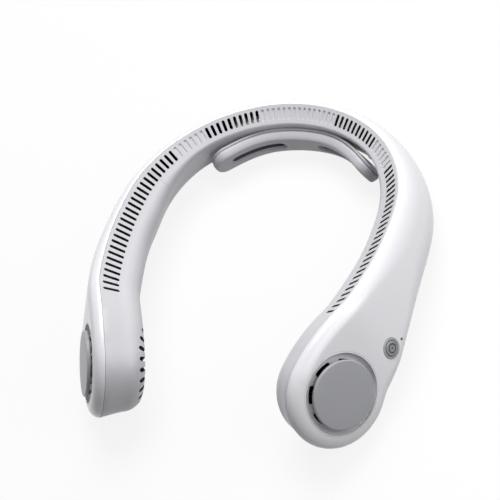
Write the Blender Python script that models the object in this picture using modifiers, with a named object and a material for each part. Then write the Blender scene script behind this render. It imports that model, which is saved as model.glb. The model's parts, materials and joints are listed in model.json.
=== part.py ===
"""A neck fan: a curved band that hangs on the shoulders, with a blower in each front housing.

The band is described flat first. s runs along the rim from the middle of the nape, h runs down
the wall from the rim, and t runs outward through the thickness. place() bends that strip round
the neck. Lengths are in metres, +Z is up, and the band stands on z = 0.
"""

from collections import namedtuple
from math import atan2, cos, hypot, pi, radians, sin, sqrt, tan

import bmesh
import bpy
from mathutils import Matrix, Vector

# Plan of the rim line
NAPE_RADIUS = 0.0815
NAPE_ARC = 0.1225
ARM_RADIUS = 0.205
ARM_ARC = 0.0695
WRIST_RADIUS = 0.048
WRIST_ARC = 0.0110
FAN_DISTANCE = 0.229
RIM_TILT = radians(11.2)
FACE_TILT = radians(23.2)
GROUND_FLAT = 0.0006

# Outline of the band, seen square to its face
RIDGE_RISE = 0.0024
NAPE_DEPTH = 0.0300
ARM_DEPTH = 0.0350
FAN_DEPTH = 0.0370
HOUSING_RADIUS = 0.0325
TOP_BLEND_RADIUS = 0.110
BASE_BLEND_RADIUS = 0.130
ARM_START = 0.060
ARM_FULL = 0.140
HOUSING_START = 0.185

# Thickness of the band
NAPE_RIDGE_OUT = 0.0055
ARM_RIDGE_OUT = 0.0070
NAPE_CROWN = 0.0060
HOUSING_CROWN = 0.0065
ARM_CROWN_WIDTH = 0.0155
HOUSING_CROWN_WIDTH = 0.0085
CROWN_REACH = 0.9
NAPE_STRIP_END = -0.0052
ARM_STRIP_END = -0.0065
NAPE_INNER = -0.0070
ARM_INNER = -0.0160
HOUSING_INNER = -0.0185
RIM_DRAFT = radians(17.0)
NAPE_ROUNDING = 0.0020
ARM_ROUNDING = 0.0110
SHELL_WALL = 0.0018
SEAM = 0.0003

# Rim slots
SLOT_WIDTH = 0.0019
NAPE_SLOT_LENGTH = 0.0075
ARM_SLOT_LENGTH = 0.0106
NAPE_SLOT_PITCH = 0.00336
SLOT_PITCH_GROWTH = 0.0000142
CENTRE_BLIND_SLOTS = 7
NAPE_OPEN_SLOTS = 10
SIDE_BLIND_SLOTS = 6
ARM_OPEN_SLOTS = 27
SEAM_SLOT = 28
BLIND_DEPTH = 0.0007

# Clearances
CLEAR = 0.0003
RUN_FIT = 0.00005

# Inner intake grille of each housing. Its slots run out over the rounding, so the cutter stands up to there.
GRILLE_COUNT = 24
GRILLE_INNER = 0.0095
GRILLE_MARGIN = 0.0063
GRILLE_OUTER = HOUSING_RADIUS - GRILLE_MARGIN
GRILLE_INNER_WIDTH = 0.0010
GRILLE_OUTER_WIDTH = 0.0028
GRILLE_RISE = 0.0088

# Intake guard and cap of each blower
GUARD_MARGIN = 0.0081
GUARD_RADIUS = HOUSING_RADIUS - GUARD_MARGIN
GUARD_RIM = 0.0006
GUARD_FLANGE = 0.0010
DISH_WIDTH = 0.0039
DISH_RADIUS = GUARD_RADIUS - DISH_WIDTH
DISH_DEPTH = 0.0040
GUARD_FLOOR = 0.0016
INTAKE_COUNT = 7
INTAKE_MARGIN = 0.0048
INTAKE_OUTER = GUARD_RADIUS - INTAKE_MARGIN
INTAKE_INNER = 0.0145
INTAKE_ANGLE = radians(33.0)
INTAKE_TURN = radians(-37.0)
CAP_GAP = 0.0005
CAP_RADIUS = DISH_RADIUS - CAP_GAP
CAP_PROUD = 0.0026
CAP_THICKNESS = 0.0022
CAP_BEVEL = 0.0005
PILLAR_RADIUS = 0.0014
PILLAR_INSET = 0.0020
PILLAR_CIRCLE = CAP_RADIUS - PILLAR_INSET

# Blower
SCROLL_MARGIN = 0.0109
SCROLL_RADIUS = HOUSING_RADIUS - SCROLL_MARGIN
IMPELLER_GAP = 0.0011
IMPELLER_RADIUS = SCROLL_RADIUS - IMPELLER_GAP
IMPELLER_EYE = 0.0135
BLADE_COUNT = 18
BLADE_THICKNESS = 0.0010
BLADE_SWEEP = radians(17.0)
BLADE_GAP = 0.0004
WEB_INSET = 0.0004
WEB_THICKNESS = 0.0012
WEB_BASE = -0.0010
HUB_WALL = 0.0012
SCROLL_GROWTH = 0.0034
SCROLL_WALL = 0.0011
SCROLL_FLOOR_GAP = 0.0013
SCROLL_INLET = 0.0138
SCROLL_OPENING = radians(80.0)
FOOT_RADIUS = 0.0009
FOOT_CIRCLE = 0.0166
FOOT_COUNT = 3

# Motor
CAN_RADIUS = 0.0105
CAN_WALL = 0.0007
CAN_TOP = 0.0040
CAN_BASE = -0.0055
MAGNET_WALL = 0.0012
MAGNET_HEIGHT = 0.0060
AIR_GAP = 0.0004
STATOR_HEIGHT = 0.0040
STATOR_TEETH = 6
TOOTH_WIDTH = 0.0018
TOOTH_TIP = 0.0009
TOOTH_TIP_ANGLE = radians(21.0)
YOKE_WALL = 0.0013
COIL_WALL = 0.0008
BEARING_RADIUS = 0.0019
BEARING_LENGTH = 0.0080
BEARING_TOP = 0.0048
TUBE_WALL = 0.0009
SHAFT_RADIUS = 0.0010
SHAFT_TOP = 0.0055
MOTOR_PLATE_RADIUS = 0.0110
MOTOR_PLATE = 0.0016

# Fasteners
SCREW_RADIUS = 0.0009
SCREW_HEAD_RADIUS = 0.0018
SCREW_HEAD = 0.0011
NAPE_SCREW_LENGTH = 0.0065
BOARD_SCREW_LENGTH = 0.0045
BOSS_RADIUS = 0.0026
MOTOR_SCREW_CIRCLE = 0.0075
MOTOR_SCREWS = 3
NAPE_SCREW_S = 0.0560
NAPE_SCREW_DEPTHS = (0.0135, 0.0215)

# Power button, lamp, switch and charging socket
BUTTON_MARGIN = 0.0030
BUTTON_FROM_FAN = HOUSING_RADIUS + BUTTON_MARGIN
BUTTON_DEPTH = 0.0380
BUTTON_RADIUS = 0.0045
BUTTON_PROUD = 0.0005
BUTTON_SKIRT = 0.0008
BUTTON_TRAVEL = 0.0004
BEZEL_RADIUS = 0.0061
BEZEL_PROUD = 0.0003
BEZEL_DEPTH = 0.0030
LAMP_BACK = 0.0093
LAMP_DOWN = 0.0020
LAMP_RADIUS = 0.0009
LAMP_SINK = 0.0012
SWITCH_SIZE = 0.0060
SWITCH_HEIGHT = 0.0032
PLUNGER_RADIUS = 0.0016
PLUNGER_GRIP = 0.0005
BOARD_TOP = 0.0046
BOARD_LENGTH = 0.0380
BOARD_WIDTH = 0.0185
BOARD_THICKNESS = 0.0010
BOARD_TURN = radians(20.0)
BOARD_MIDDLE = (-0.0115, -0.0017)
POST_RADIUS = 0.0022
POST_SINK = 0.00045
BOARD_POSTS = ((0.0045, -0.0078), (-0.0130, -0.0078))
SOCKET_WIDTH = 0.0089
SOCKET_HEIGHT = 0.0032
SOCKET_DEPTH = 0.0070
SOCKET_SHELL = 0.0004
SOCKET_CORNER = 0.0012
SOCKET_FROM_BUTTON = 0.0200
SOCKET_FRONT = 0.0100
TONGUE_WIDTH = 0.0062
TONGUE_THICKNESS = 0.0007
TONGUE_LENGTH = 0.0046

# Battery in the nape
CELL_LENGTH = 0.0420
CELL_WIDTH = 0.0180
CELL_THICKNESS = 0.0062
CELL_CORNER = 0.0012
CELL_GAP = 0.0060
CELL_DEPTH = 0.0135
CRADLE_WALL = 0.0012
CRADLE_LIP = 0.0022
CRADLE_END = 0.0480
CELL_BOARD_WIDTH = 0.0044

# Nape pad
PAD_HALF_LENGTH = 0.0670
PAD_HEIGHT = 0.0210
PAD_MIDDLE = 0.0160
PAD_THICKNESS = 0.0060
PAD_CROWN = 0.0006
PAD_SHOULDER = 0.00042
PAD_WAIST = 0.0006
PAD_BULGE = 0.0012
PAD_ROUND = 0.0020
PAD_BASE_THICKNESS = 0.0016
PAD_BASE_INSET = 0.0010
PAD_FLARE_START = 0.0200
PAD_FLARE = 0.0036
PAD_SLOT_HEIGHT = 0.0088
PAD_SLOT_START = 0.0125
PAD_SLOT_END = 0.0545
PAD_SLOT_STEP = 0.0013

# Wiring
WIRE_RADIUS = 0.0008
WIRE_OUT = 0.0045
NAPE_WIRE_DEPTH = 0.0260
ARM_WIRE_DEPTH = 0.0290
WIRE_STEP = 0.0080
# Rim distances that the long wire passes on its way round the nape, and its rise to the left motor
LONG_WIRE_STOPS = (0.145, 0.120, 0.095, 0.065, 0.035, 0.0, -0.035, -0.065, -0.095, -0.120, -0.145, -0.170)
LONG_WIRE_RISE = (-0.192, 0.0325, 0.0055)
# Depths and rises of the battery lead, and the side of the long wire that it joins
LEAD_STOPS = ((0.0195, 0.0), (0.0200, 0.0015), (0.0228, 0.0035))
LEAD_SIDE = radians(60.0)

# How finely round shapes are divided
STATION_STEP = 0.0135
CROWN_STEPS = 4
ROUNDING_STEPS = 3
FAN_STEPS = 10
OVAL_STEPS = 6
SPIRAL_STEPS = 16
FACE_STEPS = 32
TURNED_STEPS = 16
SMALL_STEPS = 12
PIN_STEPS = 8

WHITE = (0.86, 0.86, 0.88, 1.0)
PALE = (0.74, 0.74, 0.77, 1.0)
GREY = (0.32, 0.33, 0.35, 1.0)
DARK = (0.05, 0.05, 0.055, 1.0)
STEEL = (0.55, 0.55, 0.56, 1.0)
COPPER = (0.72, 0.35, 0.16, 1.0)
RED = (0.50, 0.03, 0.03, 1.0)
GREEN = (0.03, 0.20, 0.10, 1.0)
SILVER = (0.70, 0.71, 0.73, 1.0)

OBJECT = bpy.data.collections.new("neck_fan")
CUTTERS = bpy.data.collections.new("cutters")
HalfLine = namedtuple("HalfLine", "edge core s share")


def clear_scene():
    for obj in list(bpy.data.objects):
        bpy.data.objects.remove(obj, do_unlink=True)
    for group in (OBJECT, CUTTERS):
        bpy.context.scene.collection.children.link(group)


def material(name, colour, roughness, metallic=0.0):
    found = bpy.data.materials.get(name)
    if found:
        return found
    made = bpy.data.materials.new(name)
    made.use_nodes = True
    shader = made.node_tree.nodes["Principled BSDF"]
    shader.inputs["Base Color"].default_value = colour
    shader.inputs["Roughness"].default_value = roughness
    shader.inputs["Metallic"].default_value = metallic
    made.diffuse_color = colour
    return made


def ease(value, start, end):
    """0 before start, 1 after end, and smooth between."""
    share = min(max((value - start) / (end - start), 0.0), 1.0)
    return share * share * (3.0 - 2.0 * share)


def between(low, high, share):
    return low + (high - low) * share


# The bent frame of the band
PLANE_FORWARD = Vector((0.0, -cos(RIM_TILT), sin(RIM_TILT)))
PLANE_UP = Vector((0.0, sin(RIM_TILT), cos(RIM_TILT)))
NAPE_TILT = FACE_TILT - RIM_TILT
RIM_ORIGIN = Vector((
    0.0,
    -NAPE_DEPTH * sin(NAPE_TILT),
    NAPE_DEPTH * cos(NAPE_TILT) - NAPE_RIDGE_OUT * sin(NAPE_TILT) - GROUND_FLAT,
))


def section(s):
    """Origin and the along, down and out directions of the band at rim distance s."""
    left = abs(s)
    x, forward, heading = 0.0, 0.0, 0.0
    for radius, length in ((NAPE_RADIUS, NAPE_ARC), (ARM_RADIUS, ARM_ARC), (WRIST_RADIUS, WRIST_ARC)):
        run = min(left, length)
        turned = heading + run / radius
        x += radius * (sin(turned) - sin(heading))
        forward += radius * (cos(heading) - cos(turned))
        heading = turned
        left -= run
    x += left * cos(heading)
    forward += left * sin(heading)
    origin = RIM_ORIGIN + PLANE_FORWARD * forward + Vector((x, 0, 0))
    along = Vector((cos(heading), 0, 0)) + PLANE_FORWARD * sin(heading)
    outward = Vector((sin(heading), 0, 0)) - PLANE_FORWARD * cos(heading)
    out = outward * cos(FACE_TILT) + PLANE_UP * sin(FACE_TILT)
    down = outward * sin(FACE_TILT) - PLANE_UP * cos(FACE_TILT)
    if s < 0:
        for vector in (origin, along, out, down):
            vector.x = -vector.x
        along = -along
    return origin, along, down, out


def place(s, h, t):
    """World position of the flat point s, h, t."""
    origin, _, down, out = section(s)
    return origin + down * h + out * t


def frame_at(s, h, t):
    """Matrix whose z points out of the band and whose x points to the housing of that side."""
    _, along, _, out = section(s)
    if s < 0:
        along = -along
    matrix = Matrix((along, out.cross(along), out)).transposed().to_4x4()
    matrix.translation = place(s, h, t)
    return matrix


# The flat outline of the band
TOP_BLEND_LIFT = TOP_BLEND_RADIUS - RIDGE_RISE - FAN_DEPTH
TOP_BLEND_RUN = sqrt((TOP_BLEND_RADIUS - HOUSING_RADIUS) ** 2 - TOP_BLEND_LIFT ** 2)
TOP_BLEND_START = FAN_DISTANCE - TOP_BLEND_RUN
BASE_BLEND_DROP = ARM_DEPTH + BASE_BLEND_RADIUS - FAN_DEPTH
BASE_BLEND_RUN = sqrt((BASE_BLEND_RADIUS + HOUSING_RADIUS) ** 2 - BASE_BLEND_DROP ** 2)
BASE_BLEND_START = FAN_DISTANCE - BASE_BLEND_RUN
BASE_TANGENT = FAN_DISTANCE - HOUSING_RADIUS * BASE_BLEND_RUN / (BASE_BLEND_RADIUS + HOUSING_RADIUS)


def arc_drop(radius, run):
    return radius - sqrt(radius ** 2 - run ** 2)


def top_edge(s):
    return arc_drop(TOP_BLEND_RADIUS, max(abs(s) - TOP_BLEND_START, 0.0)) - RIDGE_RISE


def base_edge(s):
    if abs(s) > BASE_TANGENT:
        return FAN_DEPTH + sqrt(HOUSING_RADIUS ** 2 - (FAN_DISTANCE - abs(s)) ** 2)
    depth = between(NAPE_DEPTH, ARM_DEPTH, ease(abs(s), ARM_START, ARM_FULL))
    return depth + arc_drop(BASE_BLEND_RADIUS, max(abs(s) - BASE_BLEND_START, 0.0))


def middle(s):
    halfway = (top_edge(s) + base_edge(s)) / 2
    return between(halfway, FAN_DEPTH, ease(abs(s), HOUSING_START, FAN_DISTANCE))


def housing_reach(angle):
    """Distance from the fan axis to the outline, the angle turning from the rim to the tip."""
    if angle > atan2(TOP_BLEND_RUN, TOP_BLEND_LIFT):
        return HOUSING_RADIUS
    toward = TOP_BLEND_RUN * sin(angle) + TOP_BLEND_LIFT * cos(angle)
    spare = 2 * TOP_BLEND_RADIUS * HOUSING_RADIUS - HOUSING_RADIUS ** 2
    return sqrt(toward ** 2 + spare) - toward


def ridge_out(s):
    return between(NAPE_RIDGE_OUT, ARM_RIDGE_OUT, ease(abs(s), ARM_START, ARM_FULL))


def crown_height(s):
    return between(NAPE_CROWN, HOUSING_CROWN, ease(abs(s), ARM_START, HOUSING_START))


def face_out(s):
    return ridge_out(s) + SEAM / 2 + crown_height(s)


def inner_out(s):
    arm = between(NAPE_INNER, ARM_INNER, ease(abs(s), ARM_START, ARM_FULL))
    return between(arm, HOUSING_INNER, ease(abs(s), ARM_FULL, HOUSING_START))


# Half lines from the edge of the band to its middle
def spaced(start, end, step):
    count = max(1, round(abs(end - start) / step))
    return [between(start, end, index / count) for index in range(count + 1)]


def stations(start, end):
    """Distances along the rim, the same for every shell so that their facets match."""
    nape = spaced(-COVER_SEAM, COVER_SEAM, STATION_STEP)
    arm = spaced(COVER_SEAM, FAN_DISTANCE, STATION_STEP)[1:]
    inside = [s for s in [-s for s in reversed(arm)] + nape + arm if start + SEAM < s < end - SEAM]
    return [start] + inside + [end]


def top_lines(start, end):
    return [HalfLine((s, top_edge(s)), (s, middle(s)), s, 0.0) for s in stations(start, end)]


def base_lines(start, end):
    return [HalfLine((s, base_edge(s)), (s, middle(s)), s, 1.0) for s in stations(start, end)]


def fan_lines(side):
    """Lines round the tip of a housing, from the rim side to the base side."""
    lines = []
    for index in range(1, FAN_STEPS):
        share = index / FAN_STEPS
        reach = housing_reach(share * pi)
        edge = (side * (FAN_DISTANCE + reach * sin(share * pi)), FAN_DEPTH - reach * cos(share * pi))
        lines.append(HalfLine(edge, (side * FAN_DISTANCE, FAN_DEPTH), side * FAN_DISTANCE, share))
    return lines


def reach_of(line):
    return hypot(line.core[0] - line.edge[0], line.core[1] - line.edge[1])


def point_on(line, distance, t):
    """World point at a distance from the edge along a half line and at height t."""
    share = distance / reach_of(line)
    s = between(line.edge[0], line.core[0], share)
    h = between(line.edge[1], line.core[1], share)
    return place(s, h, t)


def offset_rows(rows, wall, turn):
    """The rows of the other face of a wall. The first row stays in the parting plane."""
    inside = [(rows[0][0] + wall, rows[0][1])]
    for before, here, after in zip(rows, rows[1:], rows[2:]):
        run = (after[0] - before[0], after[1] - before[1])
        length = hypot(*run)
        inside.append((here[0] - turn * wall * run[1] / length, here[1] + turn * wall * run[0] / length))
    inside.append((rows[-1][0], rows[-1][1] + turn * wall))
    return inside


def crown_rows(line):
    """Profile of the outer shell at a half line, from the middle outside to the middle inside."""
    low = ridge_out(line.s) + SEAM / 2
    wide = between(ARM_CROWN_WIDTH, HOUSING_CROWN_WIDTH, ease(abs(line.s), ARM_FULL, HOUSING_START))
    wide = min(wide, CROWN_REACH * reach_of(line))
    quarter = [index * pi / 2 / CROWN_STEPS for index in range(CROWN_STEPS + 1)]
    rows = [(wide * (1 - cos(a)), low + crown_height(line.s) * sin(a)) for a in quarter]
    rows.append((reach_of(line), rows[-1][1]))
    return rows[::-1] + offset_rows(rows, SHELL_WALL, -1)


def tub_rows(line):
    """Profile of the inner covers at a half line: the rim strip, the rounding and the inner wall."""
    arm = ease(abs(line.s), ARM_START, ARM_FULL)
    high = ridge_out(line.s) - SEAM / 2
    strip_end = between(NAPE_STRIP_END, ARM_STRIP_END, arm)
    rounding = between(NAPE_ROUNDING, ARM_ROUNDING, arm)
    drawn_in = (high - strip_end) * tan(between(RIM_DRAFT, NAPE_TILT, line.share))
    rows = [(0.0, high), (drawn_in, strip_end)]
    for index in range(1, ROUNDING_STEPS + 1):
        angle = index * pi / 2 / ROUNDING_STEPS
        distance = drawn_in + rounding * (1 - cos(angle))
        rows.append((distance, between(strip_end, inner_out(line.s), sin(angle))))
    rows.append((reach_of(line), inner_out(line.s)))
    return rows[::-1] + offset_rows(rows, SHELL_WALL, 1)


# Meshes
def link(name, mesh, paint, group=None):
    obj = bpy.data.objects.new(name, mesh)
    (group or OBJECT).objects.link(obj)
    if group is CUTTERS:
        obj.hide_render = True
        obj.display_type = "WIRE"
    elif paint:
        mesh.materials.append(paint)
    return obj


def finished_mesh(name, bm, crease=radians(40)):
    bmesh.ops.remove_doubles(bm, verts=bm.verts, dist=1e-6)
    bmesh.ops.recalc_face_normals(bm, faces=bm.faces)
    mesh = bpy.data.meshes.new(name)
    bm.to_mesh(mesh)
    bm.free()
    mesh.shade_smooth()
    mesh.set_sharp_from_angle(angle=crease)
    return mesh


def add_strip(bm, lines, rows_of, loop):
    """Skins the profiles of neighbouring half lines. An open strip gets a wall across each end."""
    grid = []
    for line in lines:
        points = [point_on(line, distance, t) for distance, t in rows_of(line)]
        for point in points:
            point.z = max(point.z, 0.0)
        grid.append([bm.verts.new(point) for point in points])
    pairs = list(zip(grid, grid[1:]))
    if loop:
        pairs.append((grid[-1], grid[0]))
    for one, other in pairs:
        for index in range(len(one) - 1):
            bm.faces.new((one[index], other[index], other[index + 1], one[index + 1]))
    if not loop:
        for row in (grid[0], grid[-1]):
            last = len(row) - 1
            for index in range(last // 2):
                bm.faces.new((row[index], row[index + 1], row[last - index - 1], row[last - index]))


def add_prism(bm, outline, low, high, matrix=None):
    """An upright prism on a flat outline of x, y points."""
    base = [bm.verts.new((x, y, low)) for x, y in outline]
    top = [bm.verts.new((x, y, high)) for x, y in outline]
    bm.faces.new(base[::-1])
    bm.faces.new(top)
    for index in range(len(outline)):
        after = (index + 1) % len(outline)
        bm.faces.new((base[index], base[after], top[after], top[index]))
    if matrix:
        bmesh.ops.transform(bm, matrix=matrix, verts=base + top)


def circle(radius, steps, x=0.0, y=0.0):
    turns = [2 * pi * index / steps for index in range(steps)]
    return [(x + radius * cos(turn), y + radius * sin(turn)) for turn in turns]


def rectangle(wide, deep, x=0.0, y=0.0, corner=0.0):
    half_x, half_y = wide / 2, deep / 2
    if corner == 0.0:
        return [(x + to_x * half_x, y + to_y * half_y) for to_x, to_y in ((-1, -1), (1, -1), (1, 1), (-1, 1))]
    points = []
    for to_x, to_y in ((1, -1), (1, 1), (-1, 1), (-1, -1)):
        cuts = [(half_x - corner, half_y), (half_x, half_y - corner)]
        if to_x == to_y:
            cuts.reverse()
        points += [(x + to_x * cut_x, y + to_y * cut_y) for cut_x, cut_y in cuts]
    return points


def sector(inner, outer, start, sweep, steps):
    """Outline of an arc shaped opening."""
    turns = [start + sweep * index / steps for index in range(steps + 1)]
    return [(outer * cos(a), outer * sin(a)) for a in turns] + [
        (inner * cos(a), inner * sin(a)) for a in reversed(turns)
    ]


def prism(name, outline, low, high, paint, matrix=None, group=None):
    bm = bmesh.new()
    add_prism(bm, outline, low, high)
    obj = link(name, finished_mesh(name, bm), paint, group)
    obj.matrix_world = matrix or Matrix()
    return obj


def turned(name, profile, paint, matrix, steps=TURNED_STEPS, closed=False, group=None):
    """A turned piece from a profile of radius, height points that runs down its outer side."""
    bm = bmesh.new()
    points = [bm.verts.new((radius, 0.0, height)) for radius, height in profile]
    for one, other in zip(points, points[1:]):
        bm.edges.new((one, other))
    if closed:
        bm.edges.new((points[-1], points[0]))
    mesh = bpy.data.meshes.new(name)
    bm.to_mesh(mesh)
    bm.free()
    obj = link(name, mesh, paint, group)
    screw = obj.modifiers.new("turn", "SCREW")
    screw.axis = "Z"
    screw.steps = steps
    screw.render_steps = steps
    screw.use_merge_vertices = True
    screw.merge_threshold = 0.00001
    screw.use_smooth_shade = True
    obj.matrix_world = matrix
    return obj


def combine(obj, others, operation="DIFFERENCE"):
    """Cuts the other solids from an object, or joins them to it."""
    for other in others:
        boolean = obj.modifiers.new(other.name, "BOOLEAN")
        boolean.operation = operation
        boolean.object = other
        boolean.solver = "EXACT"


def helper(bm, name):
    return link(name, finished_mesh(name, bm), None, CUTTERS)


def mirrored(obj, name):
    """The left copy of a right piece: its evaluated mesh turned over across the middle of the neck."""
    bpy.context.view_layer.update()
    graph = bpy.context.evaluated_depsgraph_get()
    mesh = bpy.data.meshes.new_from_object(obj.evaluated_get(graph))
    mesh.name = name
    flip = Matrix.Scale(-1, 4, Vector((0, 1, 0)))
    across = Matrix.Scale(-1, 4, Vector((1, 0, 0)))
    mesh.transform(flip)
    mesh.flip_normals()
    copy = bpy.data.objects.new(name, mesh)
    OBJECT.objects.link(copy)
    copy.matrix_world = across @ obj.matrix_world @ flip
    return copy


def pair(obj, label):
    """Names a right piece and adds its left twin."""
    obj.name = "right_" + label
    return obj, mirrored(obj, "left_" + label)


def add_tube(bm, outer, inner, low, high, matrix=None):
    """An upright tube between two flat outlines with the same number of points."""
    rows = []
    for outline, height in ((outer, low), (outer, high), (inner, high), (inner, low)):
        rows.append([bm.verts.new((x, y, height)) for x, y in outline])
    for row, after in zip(rows, rows[1:] + rows[:1]):
        for index in range(len(row)):
            beside = (index + 1) % len(row)
            bm.faces.new((row[index], row[beside], after[beside], after[index]))
    if matrix:
        bmesh.ops.transform(bm, matrix=matrix, verts=[vert for row in rows for vert in row])


def polar(radius, turn):
    return radius * cos(turn), radius * sin(turn)


# Screws
def screw(name, length, matrix):
    """A screw whose head stands on the z = 0 plane of its matrix."""
    profile = [(0.0, SCREW_HEAD), (SCREW_HEAD_RADIUS, SCREW_HEAD), (SCREW_HEAD_RADIUS, 0.0)]
    profile += [(SCREW_RADIUS, 0.0), (SCREW_RADIUS, -length), (0.0, -length)]
    return turned(name, profile, material("screw steel", STEEL, 0.35, 1.0), matrix, PIN_STEPS)


def hole(name, radius, low, high, matrix, steps=SMALL_STEPS):
    return prism(name, circle(radius, steps), low, high, None, matrix, CUTTERS)


def post(name, radius, low, high, matrix):
    """A hollow post for a screw."""
    bm = bmesh.new()
    add_tube(bm, circle(radius, SMALL_STEPS), circle(SCREW_RADIUS + CLEAR, SMALL_STEPS), low, high)
    obj = helper(bm, name)
    obj.matrix_world = matrix
    return obj


# Rim slots
def slot_distance(number):
    return number * NAPE_SLOT_PITCH + number * number * SLOT_PITCH_GROWTH


def slot_length(s):
    return between(NAPE_SLOT_LENGTH, ARM_SLOT_LENGTH, ease(abs(s), ARM_START, HOUSING_START))


def rim_slot_matrix(s):
    """Frame on the rim strip: x along the band, y towards the ridge and z out of the strip."""
    _, along, down, out = section(s)
    toward_ridge = out * cos(RIM_DRAFT) - down * sin(RIM_DRAFT)
    matrix = Matrix((along, toward_ridge, along.cross(toward_ridge))).transposed().to_4x4()
    matrix.translation = place(s, top_edge(s) + ridge_out(s) * tan(RIM_DRAFT), 0.0)
    return matrix


def rim_slots(name, numbers):
    """One cutter for the numbered slots, counted from the middle of the nape."""
    first_side = CENTRE_BLIND_SLOTS + NAPE_OPEN_SLOTS
    first_arm = first_side + SIDE_BLIND_SLOTS
    bm = bmesh.new()
    for number in numbers:
        count = abs(number)
        blind = count <= CENTRE_BLIND_SLOTS or first_side < count <= first_arm
        s = slot_distance(count) * (1 if number > 0 else -1)
        depth = BLIND_DEPTH if blind else 2 * SHELL_WALL
        add_prism(bm, rectangle(SLOT_WIDTH, slot_length(s)), -depth, SHELL_WALL, rim_slot_matrix(s))
    return helper(bm, name)


LAST_SLOT = CENTRE_BLIND_SLOTS + NAPE_OPEN_SLOTS + SIDE_BLIND_SLOTS + ARM_OPEN_SLOTS
COVER_SEAM = (slot_distance(SEAM_SLOT) + slot_distance(SEAM_SLOT + 1)) / 2

# Heights in a housing, measured outward from the plane of the rim line
HOUSING = frame_at(FAN_DISTANCE, FAN_DEPTH, 0.0)
FACE = face_out(FAN_DISTANCE)
GUARD_TOP = FACE - DISH_DEPTH
GUARD_UNDER = GUARD_TOP - GUARD_FLOOR
PLATE_TOP = GUARD_UNDER - CLEAR
PLATE_UNDER = PLATE_TOP - MOTOR_PLATE
IMPELLER_TOP = PLATE_UNDER - BLADE_GAP
HUB_TOP = CAN_BASE - CLEAR
IMPELLER_BASE = HUB_TOP - HUB_WALL
SCROLL_FLOOR = IMPELLER_BASE - SCROLL_FLOOR_GAP
TUBE_BORE = BEARING_RADIUS + RUN_FIT
TUBE_OUTER = TUBE_BORE + TUBE_WALL
CAN_BORE = CAN_RADIUS - CAN_WALL
MAGNET_OUTER = CAN_BORE - RUN_FIT
MAGNET_INNER = MAGNET_OUTER - MAGNET_WALL
STATOR_TIP = MAGNET_INNER - AIR_GAP
STATOR_BORE = TUBE_OUTER + CLEAR
YOKE_RADIUS = STATOR_BORE + YOKE_WALL


# Shells
def outer_shell():
    bm = bmesh.new()
    lines = top_lines(-FAN_DISTANCE, FAN_DISTANCE) + fan_lines(1)
    lines += base_lines(-FAN_DISTANCE, FAN_DISTANCE)[::-1] + fan_lines(-1)[::-1]
    add_strip(bm, lines, crown_rows, loop=True)
    shell = link("outer_shell", finished_mesh("outer_shell", bm), material("gloss white shell", WHITE, 0.18))
    combine(shell, nape_bosses() + board_posts(), "UNION")
    holes = [hole("bezel_hole", BEZEL_RADIUS + CLEAR, 0.0, 2 * FACE, BUTTON, TURNED_STEPS)]
    holes.append(hole("lamp_hole", LAMP_RADIUS + CLEAR, 0.0, 2 * FACE, lamp_frame()))
    for side in (1, -1):
        frame = frame_at(side * FAN_DISTANCE, FAN_DEPTH, 0.0)
        holes.append(hole("guard_hole", GUARD_RADIUS + CLEAR, GUARD_UNDER, 2 * FACE, frame, FACE_STEPS))
    combine(shell, holes)
    return shell


def nape_screw_frames():
    places = [(side * NAPE_SCREW_S, h) for side in (1, -1) for h in NAPE_SCREW_DEPTHS]
    return [frame_at(s, h, 0.0) for s, h in places]


def nape_bosses():
    low = NAPE_INNER + SHELL_WALL + CLEAR
    high = face_out(NAPE_SCREW_S) - SHELL_WALL / 2 - CLEAR
    return [post("nape_boss", BOSS_RADIUS, low, high, frame) for frame in nape_screw_frames()]


def nape_inner_cover():
    bm = bmesh.new()
    edge = COVER_SEAM - SEAM / 2
    add_strip(bm, top_lines(-edge, edge), tub_rows, loop=False)
    add_strip(bm, base_lines(-edge, edge), tub_rows, loop=False)
    paint = material("satin cover", PALE, 0.42)
    cover = link("nape_inner_cover", finished_mesh("nape_inner_cover", bm), paint)
    cuts = [rim_slots("nape_slots", range(-SEAM_SLOT, SEAM_SLOT + 1))]
    for frame in nape_screw_frames():
        cuts.append(hole("nape_screw_hole", SCREW_RADIUS + CLEAR, 2 * NAPE_INNER, 0.0, frame, PIN_STEPS))
    combine(cover, cuts)
    return cover


def nape_screws():
    turned_over = Matrix.Translation((0, 0, NAPE_INNER - CLEAR)) @ Matrix.Rotation(pi, 4, "X")
    for number, frame in enumerate(nape_screw_frames(), 1):
        screw(f"nape_screw_{number}", NAPE_SCREW_LENGTH, frame @ turned_over)


def grille_slots():
    bm = bmesh.new()
    inner, outer = GRILLE_INNER_WIDTH / 2, GRILLE_OUTER_WIDTH / 2
    outline = [(GRILLE_INNER, -inner), (GRILLE_OUTER, -outer), (GRILLE_OUTER, outer), (GRILLE_INNER, inner)]
    for index in range(GRILLE_COUNT):
        turn = HOUSING @ Matrix.Rotation(2 * pi * (index + 0.5) / GRILLE_COUNT, 4, "Z")
        add_prism(bm, outline, HOUSING_INNER - SHELL_WALL, HOUSING_INNER + GRILLE_RISE, turn)
    return helper(bm, "grille_slots")


def arm_inner_cover():
    bm = bmesh.new()
    edge = COVER_SEAM + SEAM / 2
    lines = top_lines(edge, FAN_DISTANCE) + fan_lines(1) + base_lines(edge, FAN_DISTANCE)[::-1]
    add_strip(bm, lines, tub_rows, loop=False)
    cover = link("arm_inner_cover", finished_mesh("arm_inner_cover", bm), material("satin cover", PALE, 0.42))
    combine(cover, [rim_slots("arm_slots", range(SEAM_SLOT + 1, LAST_SLOT + 1)), grille_slots()])
    return cover


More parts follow.
